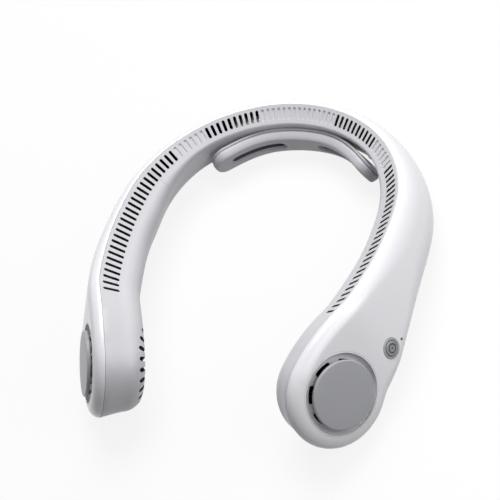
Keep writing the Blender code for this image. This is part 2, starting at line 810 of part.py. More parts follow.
# Intake guard, cap and their screws
def intake_guard():
    """A dished ring round a slotted floor, held by a flange under the shell."""
    rim = GUARD_RADIUS - GUARD_RIM
    under_shell = FACE - SHELL_WALL - 2 * CLEAR
    turns = [index * pi / 2 / ROUNDING_STEPS for index in range(ROUNDING_STEPS + 1)]
    dish = [(between(DISH_RADIUS, rim, sin(turn)), FACE - DISH_DEPTH * cos(turn)) for turn in turns]
    profile = [(0.0, GUARD_TOP)] + dish + [
        (GUARD_RADIUS, FACE),
        (GUARD_RADIUS, under_shell),
        (GUARD_RADIUS + GUARD_FLANGE, under_shell),
        (GUARD_RADIUS + GUARD_FLANGE, GUARD_TOP),
        (GUARD_RADIUS, GUARD_UNDER),
        (0.0, GUARD_UNDER),
    ]
    guard = turned("intake_guard", profile, material("pale grey guard", PALE, 0.35), HOUSING, FACE_STEPS)
    bm = bmesh.new()
    for index in range(INTAKE_COUNT):
        start = INTAKE_TURN + 2 * pi * index / INTAKE_COUNT - INTAKE_ANGLE / 2
        add_prism(bm, sector(INTAKE_INNER, INTAKE_OUTER, start, INTAKE_ANGLE, 2), 0.0, FACE, HOUSING)
    cuts = [helper(bm, "intake_slots")]
    for frame in motor_screw_frames():
        cuts.append(hole("guard_screw_hole", SCREW_RADIUS + CLEAR, 0.0, FACE, frame, PIN_STEPS))
    combine(guard, cuts)
    return guard


def motor_screw_frames():
    frames = []
    for index in range(MOTOR_SCREWS):
        x, y = polar(MOTOR_SCREW_CIRCLE, 2 * pi * index / MOTOR_SCREWS)
        frames.append(HOUSING @ Matrix.Translation((x, y, 0)))
    return frames


def motor_screws():
    seat = Matrix.Translation((0, 0, GUARD_TOP + CLEAR))
    length = GUARD_TOP + CLEAR - PLATE_UNDER
    for number, frame in enumerate(motor_screw_frames(), 1):
        pair(screw("motor_screw", length, frame @ seat), f"motor_screw_{number}")


def cap():
    """A flat disc that hides the middle of the guard and stands on short pillars."""
    top = FACE + CAP_PROUD
    under = top - CAP_THICKNESS
    profile = [(0.0, top), (CAP_RADIUS - CAP_BEVEL, top), (CAP_RADIUS, top - CAP_BEVEL), (CAP_RADIUS, under)]
    profile.append((0.0, under))
    disc = turned("cap", profile, material("grey cap", GREY, 0.38), HOUSING, FACE_STEPS)
    bm = bmesh.new()
    for index in range(INTAKE_COUNT):
        x, y = polar(PILLAR_CIRCLE, INTAKE_TURN + 2 * pi * (index + 0.5) / INTAKE_COUNT)
        outline = circle(PILLAR_RADIUS, PIN_STEPS, x, y)
        add_prism(bm, outline, GUARD_TOP + CLEAR, top - CAP_THICKNESS / 2, HOUSING)
    combine(disc, [helper(bm, "cap_pillars")], "UNION")
    return disc


# Motor
def motor_base():
    """The plate under the guard with the tube that holds the bearing and the stator."""
    tube_end = BEARING_TOP - BEARING_LENGTH - CLEAR
    profile = [
        (0.0, PLATE_TOP),
        (MOTOR_PLATE_RADIUS, PLATE_TOP),
        (MOTOR_PLATE_RADIUS, PLATE_UNDER),
        (TUBE_OUTER, PLATE_UNDER),
        (TUBE_OUTER, tube_end),
        (TUBE_BORE, tube_end),
        (TUBE_BORE, PLATE_UNDER),
        (0.0, PLATE_UNDER),
    ]
    base = turned("motor_base", profile, material("dark nylon", DARK, 0.5), HOUSING)
    holes = []
    for frame in motor_screw_frames():
        holes.append(hole("plate_screw_hole", SCREW_RADIUS + CLEAR, 0.0, FACE, frame, PIN_STEPS))
    combine(base, holes)
    return base


def ring(name, inner, outer, low, high, paint):
    profile = [(inner, high), (outer, high), (outer, low), (inner, low)]
    return turned(name, profile, paint, HOUSING, closed=True)


def bearing():
    bronze = material("sintered bronze", COPPER, 0.4, 1.0)
    low = BEARING_TOP - BEARING_LENGTH
    return ring("bearing", SHAFT_RADIUS + RUN_FIT, BEARING_RADIUS, low, BEARING_TOP, bronze)


def motor_shaft():
    profile = [(0.0, SHAFT_TOP), (SHAFT_RADIUS, SHAFT_TOP), (SHAFT_RADIUS, CAN_BASE), (0.0, CAN_BASE)]
    return turned("motor_shaft", profile, material("ground steel", STEEL, 0.2, 1.0), HOUSING)


def rotor_can():
    profile = [
        (CAN_BORE, CAN_TOP),
        (CAN_RADIUS, CAN_TOP),
        (CAN_RADIUS, CAN_BASE),
        (SHAFT_RADIUS + RUN_FIT, CAN_BASE),
        (SHAFT_RADIUS + RUN_FIT, CAN_BASE + CAN_WALL),
        (CAN_BORE, CAN_BASE + CAN_WALL),
    ]
    return turned("rotor_can", profile, material("plated can", STEEL, 0.3, 1.0), HOUSING, closed=True)


def rotor_magnet():
    black = material("bonded magnet", DARK, 0.6)
    return ring("rotor_magnet", MAGNET_INNER, MAGNET_OUTER, -MAGNET_HEIGHT / 2, MAGNET_HEIGHT / 2, black)


def stator_core():
    """A stack of plates with a yoke round the tube and a T shaped tooth for each coil."""
    half = TOOTH_WIDTH / 2
    neck_end = STATOR_TIP - TOOTH_TIP
    tip_half = neck_end * tan(TOOTH_TIP_ANGLE)
    tooth = [(YOKE_RADIUS, -half), (neck_end, -half), (neck_end, -tip_half)]
    tooth += [polar(STATOR_TIP, turn) for turn in (-TOOTH_TIP_ANGLE, 0.0, TOOTH_TIP_ANGLE)]
    tooth += [(neck_end, tip_half), (neck_end, half), (YOKE_RADIUS, half)]
    outline = []
    for index in range(STATOR_TEETH):
        turn = Matrix.Rotation(2 * pi * index / STATOR_TEETH, 2)
        outline += [tuple(turn @ Vector(point)) for point in tooth]
    paint = material("stator plates", STEEL, 0.45, 1.0)
    core = prism("stator_core", outline, -STATOR_HEIGHT / 2, STATOR_HEIGHT / 2, paint, HOUSING)
    combine(core, [hole("stator_bore", STATOR_BORE, -STATOR_HEIGHT, STATOR_HEIGHT, HOUSING, TURNED_STEPS)])
    return core


def stator_winding():
    """A coil round each tooth, joined by the crossover ring of wire on their outer ends."""
    bm = bmesh.new()
    inner = rectangle(TOOTH_WIDTH + 2 * CLEAR, STATOR_HEIGHT + 2 * CLEAR)
    outer = rectangle(TOOTH_WIDTH + 2 * CLEAR + 2 * COIL_WALL, STATOR_HEIGHT + 2 * CLEAR + 2 * COIL_WALL)
    start = YOKE_RADIUS + CLEAR
    for index in range(STATOR_TEETH):
        turn = 2 * pi * index / STATOR_TEETH
        sideways, up, radial = (-sin(turn), cos(turn), 0), (0, 0, 1), (cos(turn), sin(turn), 0)
        matrix = Matrix((sideways, up, radial)).transposed().to_4x4()
        add_tube(bm, outer, inner, start, STATOR_TIP - TOOTH_TIP - CLEAR, matrix)
    copper = material("enamelled copper", COPPER, 0.3, 1.0)
    winding = link("stator_winding", finished_mesh("stator_winding", bm), copper)
    winding.matrix_world = HOUSING
    low = STATOR_HEIGHT / 2 + CLEAR + COIL_WALL / 3
    crossover = bmesh.new()
    wide, narrow = circle(start + 2 * COIL_WALL, TURNED_STEPS), circle(start + COIL_WALL, TURNED_STEPS)
    add_tube(crossover, wide, narrow, low, low + COIL_WALL, HOUSING)
    combine(winding, [helper(crossover, "winding_crossover")], "UNION")
    return winding


# Blower
def impeller():
    """A hub over the rotor can and a web ring that carries curved blades on both its sides."""
    sleeve = CAN_RADIUS + RUN_FIT
    web_radius = IMPELLER_RADIUS - WEB_INSET
    web_top = WEB_BASE + WEB_THICKNESS
    profile = [
        (0.0, HUB_TOP),
        (sleeve, HUB_TOP),
        (sleeve, CAN_TOP),
        (sleeve + HUB_WALL, CAN_TOP),
        (sleeve + HUB_WALL, web_top),
        (web_radius, web_top),
        (web_radius, WEB_BASE),
        (sleeve + HUB_WALL, WEB_BASE),
        (sleeve + HUB_WALL, IMPELLER_BASE),
        (0.0, IMPELLER_BASE),
    ]
    wheel = turned("impeller", profile, material("smoke nylon", DARK, 0.45), HOUSING)
    bm = bmesh.new()
    for index in range(BLADE_COUNT):
        start = 2 * pi * index / BLADE_COUNT
        front, back = [], []
        for radius, turn in ((IMPELLER_EYE, start), (IMPELLER_RADIUS, start + BLADE_SWEEP)):
            front.append(polar(radius, turn - BLADE_THICKNESS / 2 / radius))
            back.append(polar(radius, turn + BLADE_THICKNESS / 2 / radius))
        add_prism(bm, front + back[::-1], IMPELLER_BASE, IMPELLER_TOP, HOUSING)
    combine(wheel, [helper(bm, "impeller_blades")], "UNION")
    return wheel


def blower_scroll():
    """A spiral wall round the impeller, open to the arm, with a floor round the inner intake."""
    sweep = 2 * pi - SCROLL_OPENING
    base = SCROLL_FLOOR - SCROLL_WALL
    bm = bmesh.new()
    grid = []
    for index in range(SPIRAL_STEPS + 1):
        share = index / SPIRAL_STEPS
        inner = SCROLL_RADIUS + SCROLL_GROWTH * share
        outer = inner + SCROLL_WALL
        rows = [(SCROLL_INLET, base), (outer, base), (outer, PLATE_TOP), (inner, PLATE_TOP)]
        rows += [(inner, SCROLL_FLOOR), (SCROLL_INLET, SCROLL_FLOOR)]
        turn = sweep * (share - 0.5)
        grid.append([bm.verts.new((*polar(radius, turn), height)) for radius, height in rows])
    for one, other in zip(grid, grid[1:]):
        for index in range(len(one)):
            after = (index + 1) % len(one)
            bm.faces.new((one[index], one[after], other[after], other[index]))
    bm.faces.new(grid[0])
    bm.faces.new(grid[-1])
    scroll = link("blower_scroll", finished_mesh("blower_scroll", bm), material("dark nylon", DARK, 0.5))
    scroll.matrix_world = HOUSING
    feet = bmesh.new()
    for index in range(FOOT_COUNT):
        x, y = polar(FOOT_CIRCLE, 2 * pi * index / FOOT_COUNT)
        foot_end = HOUSING_INNER + SHELL_WALL + CLEAR
        outline = circle(FOOT_RADIUS, PIN_STEPS, x, y)
        add_prism(feet, outline, foot_end, SCROLL_FLOOR - SCROLL_WALL / 2, HOUSING)
    combine(scroll, [helper(feet, "scroll_feet")], "UNION")
    return scroll


# Controls. The board and what stands on it share the frame of the button, turned with the board.
BUTTON_S = FAN_DISTANCE - BUTTON_FROM_FAN
BUTTON = frame_at(BUTTON_S, BUTTON_DEPTH, 0.0)
BOARD = BUTTON @ Matrix.Rotation(BOARD_TURN, 4, "Z")
BEZEL_UNDER = FACE - BEZEL_DEPTH
SKIRT_TOP = BEZEL_UNDER - CLEAR
SKIRT_UNDER = SKIRT_TOP - BUTTON_SKIRT
SWITCH_TOP = BOARD_TOP + CLEAR + SWITCH_HEIGHT
BOARD_UNDER = BOARD_TOP - BOARD_THICKNESS


def lamp_frame():
    return BUTTON @ Matrix.Translation((-LAMP_BACK, LAMP_DOWN, 0))


def board_post_frames():
    return [BOARD @ Matrix.Translation((x, y, 0)) for x, y in BOARD_POSTS]


def board_posts():
    high = FACE - SHELL_WALL + POST_SINK
    return [post("board_post", POST_RADIUS, BOARD_TOP + CLEAR, high, frame) for frame in board_post_frames()]


def power_bezel():
    low, high = BEZEL_UNDER, FACE + BEZEL_PROUD
    inner = BUTTON_RADIUS + CLEAR
    profile = [(inner, high), (BEZEL_RADIUS - CAP_BEVEL, high), (BEZEL_RADIUS, high - CAP_BEVEL)]
    profile += [(BEZEL_RADIUS, low), (inner, low)]
    return turned("power_bezel", profile, material("grey bezel", GREY, 0.35), BUTTON, closed=True)


def power_button():
    """A round key with a skirt that the bezel traps."""
    top = FACE + BEZEL_PROUD + BUTTON_PROUD
    skirt = BEZEL_RADIUS - CLEAR
    profile = [
        (0.0, top),
        (BUTTON_RADIUS - CAP_BEVEL, top),
        (BUTTON_RADIUS, top - CAP_BEVEL),
        (BUTTON_RADIUS, SKIRT_TOP),
        (skirt, SKIRT_TOP),
        (skirt, SKIRT_UNDER),
        (0.0, SKIRT_UNDER),
    ]
    return turned("power_button", profile, material("grey button", GREY, 0.4), BUTTON)


def switch_plunger():
    low = SWITCH_TOP - PLUNGER_GRIP
    outline = circle(PLUNGER_RADIUS, SMALL_STEPS)
    paint = material("white nylon", WHITE, 0.5)
    return prism("switch_plunger", outline, low, SKIRT_UNDER - CLEAR, paint, BUTTON)


def power_switch():
    outline = rectangle(SWITCH_SIZE, SWITCH_SIZE)
    paint = material("black switch", DARK, 0.5)
    body = prism("power_switch", outline, BOARD_TOP + CLEAR, SWITCH_TOP, paint, BOARD)
    bore_end = SWITCH_TOP - PLUNGER_GRIP - BUTTON_TRAVEL - CLEAR
    combine(body, [hole("plunger_bore", PLUNGER_RADIUS + CLEAR, bore_end, FACE, BOARD)])
    return body


def main_board():
    outline = rectangle(BOARD_LENGTH, BOARD_WIDTH, *BOARD_MIDDLE)
    board = prism("main_board", outline, BOARD_UNDER, BOARD_TOP, material("board green", GREEN, 0.35), BOARD)
    holes = []
    for frame in board_post_frames():
        holes.append(hole("board_screw_hole", SCREW_RADIUS + CLEAR, 0.0, FACE, frame, PIN_STEPS))
    combine(board, holes)
    return board


def board_screws():
    turned_over = Matrix.Translation((0, 0, BOARD_UNDER - CLEAR)) @ Matrix.Rotation(pi, 4, "X")
    for number, frame in enumerate(board_post_frames(), 1):
        screw(f"board_screw_{number}", BOARD_SCREW_LENGTH, frame @ turned_over)


def status_lamp():
    """A clear rod from the lamp on the board to a hole in the shell."""
    outline = circle(LAMP_RADIUS, SMALL_STEPS)
    clear = material("clear lamp rod", SILVER, 0.1)
    return prism("status_lamp", outline, BOARD_TOP + CLEAR, FACE - LAMP_SINK, clear, lamp_frame())


def socket_frame():
    """Frame of the charging socket: x along the board, y across its thickness, z out through the wall."""
    high = BOARD_UNDER - CLEAR - SOCKET_HEIGHT / 2
    across = Matrix.Rotation(-pi / 2, 4, "X")
    return BOARD @ Matrix.Translation((-SOCKET_FROM_BUTTON, SOCKET_FRONT, high)) @ across


def usb_socket():
    metal = material("socket shell", SILVER, 0.25, 1.0)
    inner_width, inner_height = SOCKET_WIDTH - 2 * SOCKET_SHELL, SOCKET_HEIGHT - 2 * SOCKET_SHELL
    outline = rectangle(SOCKET_WIDTH, SOCKET_HEIGHT, corner=SOCKET_CORNER)
    pocket = rectangle(inner_width, inner_height, corner=SOCKET_CORNER - SOCKET_SHELL)
    floor = SOCKET_SHELL - SOCKET_DEPTH
    frame = socket_frame()
    socket = prism("usb_socket", outline, -SOCKET_DEPTH, 0.0, metal, frame)
    combine(socket, [prism("socket_pocket", pocket, floor, SHELL_WALL, None, frame, CUTTERS)])
    outline = rectangle(TONGUE_WIDTH, TONGUE_THICKNESS)
    base = floor - SOCKET_SHELL / 2
    tongue = prism("socket_tongue", outline, base, floor + TONGUE_LENGTH, None, frame, CUTTERS)
    combine(socket, [tongue], "UNION")
    return socket


def cut_socket_opening(cover):
    outline = rectangle(SOCKET_WIDTH + 2 * CLEAR, SOCKET_HEIGHT + 2 * CLEAR, corner=SOCKET_CORNER)
    reach = SHELL_WALL * 3
    combine(cover, [prism("socket_opening", outline, -reach, reach, None, socket_frame(), CUTTERS)])


# Battery
def bent_bar(name, start, end, profile, paint):
    """A bar of one profile of h, t points that follows the bend of the band."""
    bm = bmesh.new()
    grid = [[bm.verts.new(place(s, h, t)) for h, t in profile] for s in spaced(start, end, STATION_STEP)]
    for one, other in zip(grid, grid[1:]):
        for index in range(len(profile)):
            after = (index + 1) % len(profile)
            bm.faces.new((one[index], one[after], other[after], other[index]))
    bm.faces.new(grid[0])
    bm.faces.new(grid[-1])
    return link(name, finished_mesh(name, bm), paint)


CRADLE_BASE = NAPE_INNER + SHELL_WALL + CLEAR
CRADLE_FLOOR = CRADLE_BASE + CRADLE_WALL
# How far a flat cell's ends dip below its middle on the sloping wall
CELL_DIP = CELL_LENGTH ** 2 / 8 / NAPE_RADIUS * sin(FACE_TILT)


def battery_cradle():
    """A shallow tray that follows the bend behind the two cells."""
    top = CELL_DEPTH - CELL_WIDTH / 2 - CLEAR
    base = CELL_DEPTH + CELL_WIDTH / 2 + CLEAR + CELL_DIP
    lip = CRADLE_FLOOR + CRADLE_LIP
    profile = [
        (top - CRADLE_WALL, CRADLE_BASE),
        (base + CRADLE_WALL, CRADLE_BASE),
        (base + CRADLE_WALL, lip),
        (base, lip),
        (base, CRADLE_FLOOR),
        (top, CRADLE_FLOOR),
        (top, lip),
        (top - CRADLE_WALL, lip),
    ]
    return bent_bar("battery_cradle", -CRADLE_END, CRADLE_END, profile, material("dark nylon", DARK, 0.5))


def battery_cell():
    outline = rectangle(CELL_LENGTH, CELL_WIDTH, corner=CELL_CORNER)
    frame = frame_at((CELL_GAP + CELL_LENGTH) / 2, CELL_DEPTH, CRADLE_FLOOR + CLEAR)
    foil = material("cell foil", SILVER, 0.35, 0.6)
    return prism("battery_cell", outline, 0.0, CELL_THICKNESS, foil, frame)


def battery_board():
    """The protection board that stands between the two cells."""
    outline = rectangle(CELL_BOARD_WIDTH, CELL_WIDTH)
    frame = frame_at(0.0, CELL_DEPTH, CRADLE_FLOOR + CLEAR)
    return prism("battery_board", outline, 0.0, BOARD_THICKNESS, material("board green", GREEN, 0.35), frame)


# Wires
def smooth_route(points):
    """Points of a Catmull-Rom curve through the chosen flat points, a wire step apart."""
    ends = [points[0] * 2 - points[1]] + points + [points[-1] * 2 - points[-2]]
    route = []
    for before, one, other, after in zip(ends, ends[1:], ends[2:], ends[3:]):
        count = max(1, round((other - one).length / WIRE_STEP))
        for index in range(count):
            u = index / count
            bend = (other - before) * u + (before * 2 - one * 5 + other * 4 - after) * u ** 2
            bend += (one * 3 - before - other * 3 + after) * u ** 3
            route.append(one + bend / 2)
    return route + [points[-1]]


def wire(name, points, colour):
    curve = bpy.data.curves.new(name, "CURVE")
    curve.dimensions = "3D"
    curve.bevel_depth = WIRE_RADIUS
    curve.bevel_resolution = 1
    curve.use_fill_caps = True
    route = [place(*point) for point in smooth_route([Vector(point) for point in points])]
    spline = curve.splines.new("POLY")
    spline.points.add(len(route) - 1)
    for point, position in zip(spline.points, route):
        point.co = (*position, 1.0)
    obj = bpy.data.objects.new(name, curve)
    OBJECT.objects.link(obj)
    curve.materials.append(material(name + " sleeve", colour, 0.5))
    return obj


def flat_place(point):
    """Rim distance, depth and height of a point given in the turned frame of the board."""
    x, y, height = point
    s = BUTTON_S + x * cos(BOARD_TURN) - y * sin(BOARD_TURN)
    h = BUTTON_DEPTH + x * sin(BOARD_TURN) + y * cos(BOARD_TURN)
    away = BUTTON_S - s
    return s, h, height + away * away / 2 / ARM_RADIUS


def wires():
    board_half = BOARD_LENGTH / 2 + CLEAR
    mid = (BOARD_TOP + BOARD_UNDER) / 2
    plate_edge = FAN_DISTANCE - MOTOR_PLATE_RADIUS - CLEAR
    plate_mid = (PLATE_TOP + PLATE_UNDER) / 2
    nape_end = flat_place((BOARD_MIDDLE[0] - board_half, BOARD_MIDDLE[1], mid))
    near_end = flat_place((BOARD_MIDDLE[0] + board_half, BOARD_MIDDLE[1], mid))
    over_blades = FAN_DISTANCE - IMPELLER_RADIUS
    motor_run = [(over_blades, FAN_DEPTH, plate_mid), (plate_edge, FAN_DEPTH, plate_mid)]
    wire("right_fan_wire", [near_end] + motor_run, DARK)
    points = [nape_end]
    for s in LONG_WIRE_STOPS:
        depth = between(NAPE_WIRE_DEPTH, ARM_WIRE_DEPTH, ease(abs(s), ARM_START, ARM_FULL))
        points.append((s, depth, WIRE_OUT))
    points += [LONG_WIRE_RISE] + [(-s, h, t) for s, h, t in motor_run]
    wire("left_fan_wire", points, DARK)
    lift = CRADLE_FLOOR + CLEAR + BOARD_THICKNESS + CLEAR
    apart = 2 * WIRE_RADIUS + CLEAR
    lead = [(0.0, depth, lift + rise) for depth, rise in LEAD_STOPS]
    lead.append((0.0, NAPE_WIRE_DEPTH - apart * cos(LEAD_SIDE), WIRE_OUT - apart * sin(LEAD_SIDE)))
    wire("battery_lead", lead, RED)


# Nape pad
def pad_seat(s):
    """Height of the neck side of the inner cover less the growing gap behind the pad."""
    return NAPE_INNER - CLEAR - PAD_FLARE * ease(abs(s), PAD_FLARE_START, PAD_HALF_LENGTH)


def oval_lines(start, end, height):
    radius = height / 2
    low, high = start + radius, end - radius
    across = spaced(low, high, STATION_STEP)
    turns = [index * pi / OVAL_STEPS for index in range(1, OVAL_STEPS)]
    top, base = PAD_MIDDLE - radius, PAD_MIDDLE + radius
    lines = [HalfLine((s, top), (s, PAD_MIDDLE), s, 0.0) for s in across]
    for turn in turns:
        edge = (high + radius * sin(turn), PAD_MIDDLE - radius * cos(turn))
        lines.append(HalfLine(edge, (high, PAD_MIDDLE), high, 0.5))
    lines += [HalfLine((s, base), (s, PAD_MIDDLE), s, 1.0) for s in reversed(across)]
    for turn in turns:
        edge = (low - radius * sin(turn), PAD_MIDDLE + radius * cos(turn))
        lines.append(HalfLine(edge, (low, PAD_MIDDLE), low, 0.5))
    return lines


def pad_base_rows(line):
    high = pad_seat(line.s)
    low = high - PAD_BASE_THICKNESS
    return [(reach_of(line), low), (0.0, low), (0.0, high), (reach_of(line), high)]


def pad_rows(line):
    """Profile of the soft pad: a waist at its back, a bulged side and a crowned face."""
    back = pad_seat(line.s) - PAD_BASE_THICKNESS - CLEAR
    side = back - PAD_BULGE
    front = back - PAD_THICKNESS
    rows = [(reach_of(line), back), (PAD_WAIST, back)]
    for index in range(ROUNDING_STEPS + 1):
        turn = index * pi / 2 / ROUNDING_STEPS
        rows.append((PAD_ROUND * (1 - cos(turn)), between(side, front, sin(turn))))
    rows.append((reach_of(line) / 2, front - PAD_SHOULDER))
    rows.append((reach_of(line), front - PAD_CROWN))
    return rows


def pad_slot(name, side, inset, depth):
    """A long oval cutter that sinks into the face of the pad to a depth."""
    def rows(line):
        back = pad_seat(line.s) - PAD_BASE_THICKNESS - CLEAR
        high = back - PAD_THICKNESS + depth
        low = back - PAD_THICKNESS - 2 * PAD_CROWN
        return [(reach_of(line), low), (0.0, low), (0.0, high), (reach_of(line), high)]

    start, end = PAD_SLOT_START + inset, PAD_SLOT_END - inset
    if side < 0:
        start, end = -end, -start
    bm = bmesh.new()
    add_strip(bm, oval_lines(start, end, PAD_SLOT_HEIGHT - 2 * inset), rows, loop=True)
    return helper(bm, name)


def pad_base():
    bm = bmesh.new()
    half = PAD_HALF_LENGTH - PAD_BASE_INSET
    add_strip(bm, oval_lines(-half, half, PAD_HEIGHT - 2 * PAD_BASE_INSET), pad_base_rows, loop=True)
    return link("pad_base", finished_mesh("pad_base", bm), material("grey pad base", GREY, 0.45))


def nape_pad():
    bm = bmesh.new()
    add_strip(bm, oval_lines(-PAD_HALF_LENGTH, PAD_HALF_LENGTH, PAD_HEIGHT), pad_rows, loop=True)
    pad = link("nape_pad", finished_mesh("nape_pad", bm), material("soft grey pad", PALE, 0.6))
    cuts = []
    for side in (1, -1):
        cuts.append(pad_slot("pad_slot_rim", side, 0.0, PAD_SLOT_STEP))
        cuts.append(pad_slot("pad_slot", side, PAD_SLOT_STEP, 2 * PAD_THICKNESS))
    combine(pad, cuts)
    return pad


clear_scene()
outer_shell()
nape_inner_cover()
nape_screws()
right_cover, left_cover = pair(arm_inner_cover(), "arm_inner_cover")
cut_socket_opening(right_cover)
pair(intake_guard(), "intake_guard")
pair(cap(), "cap")
motor_screws()
pair(motor_base(), "motor_base")
pair(bearing(), "bearing")
pair(motor_shaft(), "motor_shaft")
pair(rotor_can(), "rotor_can")
pair(rotor_magnet(), "rotor_magnet")
pair(stator_core(), "stator_core")
pair(stator_winding(), "stator_winding")
pair(impeller(), "impeller")
pair(blower_scroll(), "blower_scroll")
power_bezel()
power_button()
switch_plunger()
power_switch()
main_board()
board_screws()
status_lamp()
usb_socket()
battery_cradle()
pair(battery_cell(), "battery_cell")
battery_board()
wires()
pad_base()
nape_pad()
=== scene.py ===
import json
from math import atan2, cos, hypot, inf, pi, radians, sin, sqrt, tan

import bmesh
import bpy
from mathutils import Matrix, Vector

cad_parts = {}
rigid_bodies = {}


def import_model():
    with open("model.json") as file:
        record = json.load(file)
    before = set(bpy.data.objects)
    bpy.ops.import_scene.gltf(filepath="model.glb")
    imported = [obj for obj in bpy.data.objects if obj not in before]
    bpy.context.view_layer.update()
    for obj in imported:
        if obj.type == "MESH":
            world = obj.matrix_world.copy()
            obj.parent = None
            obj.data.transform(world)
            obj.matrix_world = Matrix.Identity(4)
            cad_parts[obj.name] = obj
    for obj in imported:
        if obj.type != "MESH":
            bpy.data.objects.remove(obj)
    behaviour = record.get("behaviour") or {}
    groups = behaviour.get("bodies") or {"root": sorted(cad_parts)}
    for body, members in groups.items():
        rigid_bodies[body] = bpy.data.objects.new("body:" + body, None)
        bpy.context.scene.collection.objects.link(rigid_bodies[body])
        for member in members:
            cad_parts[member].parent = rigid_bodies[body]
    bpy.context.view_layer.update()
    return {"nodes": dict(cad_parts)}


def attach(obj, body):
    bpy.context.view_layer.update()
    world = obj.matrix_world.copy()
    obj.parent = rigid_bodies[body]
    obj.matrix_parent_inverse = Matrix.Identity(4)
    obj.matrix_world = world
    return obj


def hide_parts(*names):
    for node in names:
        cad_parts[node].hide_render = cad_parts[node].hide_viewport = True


for thing in list(bpy.data.objects):
    bpy.data.objects.remove(thing)
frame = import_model()


# The camera stands to the wearer's left, high and in front, with a long lens, so the near housing
# shows its cap and the far arm shows its rim and inner wall.
eye = bpy.data.objects.new("camera", bpy.data.cameras.new("camera"))
bpy.context.scene.collection.objects.link(eye)
eye.data.lens, eye.data.sensor_width = 118.758, 36.0
eye.data.clip_start, eye.data.clip_end = 0.05, 20.0
sight = Matrix(((0.91315, -0.079, 0.3999), (0.2668, 0.85755, -0.43981), (-0.30819, 0.50831, 0.80414)))
eye.matrix_world = Matrix.Translation((0.39672, -0.54891, 0.83481)) @ sight.to_4x4()
bpy.context.scene.camera = eye


# The outer shell is one seamless C of glossy white ABS, domed across and with a crisp edge where the
# covers meet it. It is drawn flat, with s along the rim, h down the wall and t outward, and place()
# bends it round the neck. Its housings are flat discs with a hole for the intake guard.
NAPE_RADIUS, NAPE_ARC = 0.0815, 0.1225
ARM_RADIUS, ARM_ARC = 0.205, 0.0695
WRIST_RADIUS, WRIST_ARC = 0.048, 0.0110
FAN_DISTANCE, FAN_DEPTH, HOUSING_RADIUS = 0.229, 0.0370, 0.0325
RIM_TILT, FACE_TILT = radians(11.2), radians(23.2)
NAPE_TILT = FACE_TILT - RIM_TILT
RIDGE_RISE, NAPE_DEPTH, ARM_DEPTH = 0.0024, 0.0300, 0.0350
TOP_BLEND_RADIUS, BASE_BLEND_RADIUS = 0.110, 0.130
ARM_START, ARM_FULL, HOUSING_START = 0.060, 0.140, 0.185
NAPE_RIDGE_OUT, ARM_RIDGE_OUT = 0.0055, 0.0070
NAPE_CROWN, HOUSING_CROWN = 0.0060, 0.0065
ARM_CROWN_WIDTH, HOUSING_CROWN_WIDTH = 0.0155, 0.0085
CROWN_REACH, GROUND_FLAT = 0.9, 0.0006
SHELL_WALL, SEAM, CLEAR = 0.0018, 0.00012, 0.0003
SHELL_EDGE, THINNEST = 0.0003, 0.4
EDGE_TURNS, FLAT_SHARES, DOME_STEPS = (0.0, pi / 6, pi / 3), (0.33, 0.67, 1.0), 14
SHELL_SHOWN = len(EDGE_TURNS) + DOME_STEPS + 1 + len(FLAT_SHARES)
PLANE_FORWARD = Vector((0.0, -cos(RIM_TILT), sin(RIM_TILT)))
PLANE_UP = Vector((0.0, sin(RIM_TILT), cos(RIM_TILT)))
RIM_ORIGIN = Vector((0.0, -NAPE_DEPTH * sin(NAPE_TILT), NAPE_DEPTH * cos(NAPE_TILT)))
RIM_ORIGIN.z -= NAPE_RIDGE_OUT * sin(NAPE_TILT) + GROUND_FLAT
TOP_LIFT = TOP_BLEND_RADIUS - RIDGE_RISE - FAN_DEPTH
TOP_RUN = sqrt((TOP_BLEND_RADIUS - HOUSING_RADIUS) ** 2 - TOP_LIFT ** 2)
BASE_DROP = ARM_DEPTH + BASE_BLEND_RADIUS - FAN_DEPTH
BASE_RUN = sqrt((BASE_BLEND_RADIUS + HOUSING_RADIUS) ** 2 - BASE_DROP ** 2)
BASE_TANGENT = FAN_DISTANCE - HOUSING_RADIUS * BASE_RUN / (BASE_BLEND_RADIUS + HOUSING_RADIUS)


def ease(value, start, end):
    share = min(max((value - start) / (end - start), 0.0), 1.0)
    return share * share * (3.0 - 2.0 * share)


def between(low, high, share):
    return low + (high - low) * share


def section(s):
    """Origin and the along, down and out directions of the band at rim distance s."""
    left, x, forward, heading = abs(s), 0.0, 0.0, 0.0
    for radius, length in ((NAPE_RADIUS, NAPE_ARC), (ARM_RADIUS, ARM_ARC), (WRIST_RADIUS, WRIST_ARC)):
        run = min(left, length)
        turned = heading + run / radius
        x += radius * (sin(turned) - sin(heading))
        forward += radius * (cos(heading) - cos(turned))
        heading, left = turned, left - run
    x += left * cos(heading)
    forward += left * sin(heading)
    origin = RIM_ORIGIN + PLANE_FORWARD * forward + Vector((x, 0, 0))
    along = Vector((cos(heading), 0, 0)) + PLANE_FORWARD * sin(heading)
    outward = Vector((sin(heading), 0, 0)) - PLANE_FORWARD * cos(heading)
    out = outward * cos(FACE_TILT) + PLANE_UP * sin(FACE_TILT)
    down = outward * sin(FACE_TILT) - PLANE_UP * cos(FACE_TILT)
    if s < 0:
        for vector in (origin, along, out, down):
            vector.x = -vector.x
        along = -along
    return origin, along, down, out


def place(s, h, t):
    origin, _, down, out = section(s)
    return origin + down * h + out * t


def frame_at(s, h, t):
    """Matrix whose z points out of the band and whose x points to the housing of that side."""
    _, along, _, out = section(s)
    if s < 0:
        along = -along
    matrix = Matrix((along, out.cross(along), out)).transposed().to_4x4()
    matrix.translation = place(s, h, t)
    return matrix


def arc_drop(radius, run):
    return radius - sqrt(radius ** 2 - run ** 2)


def top_edge(s):
    return arc_drop(TOP_BLEND_RADIUS, max(abs(s) - FAN_DISTANCE + TOP_RUN, 0.0)) - RIDGE_RISE


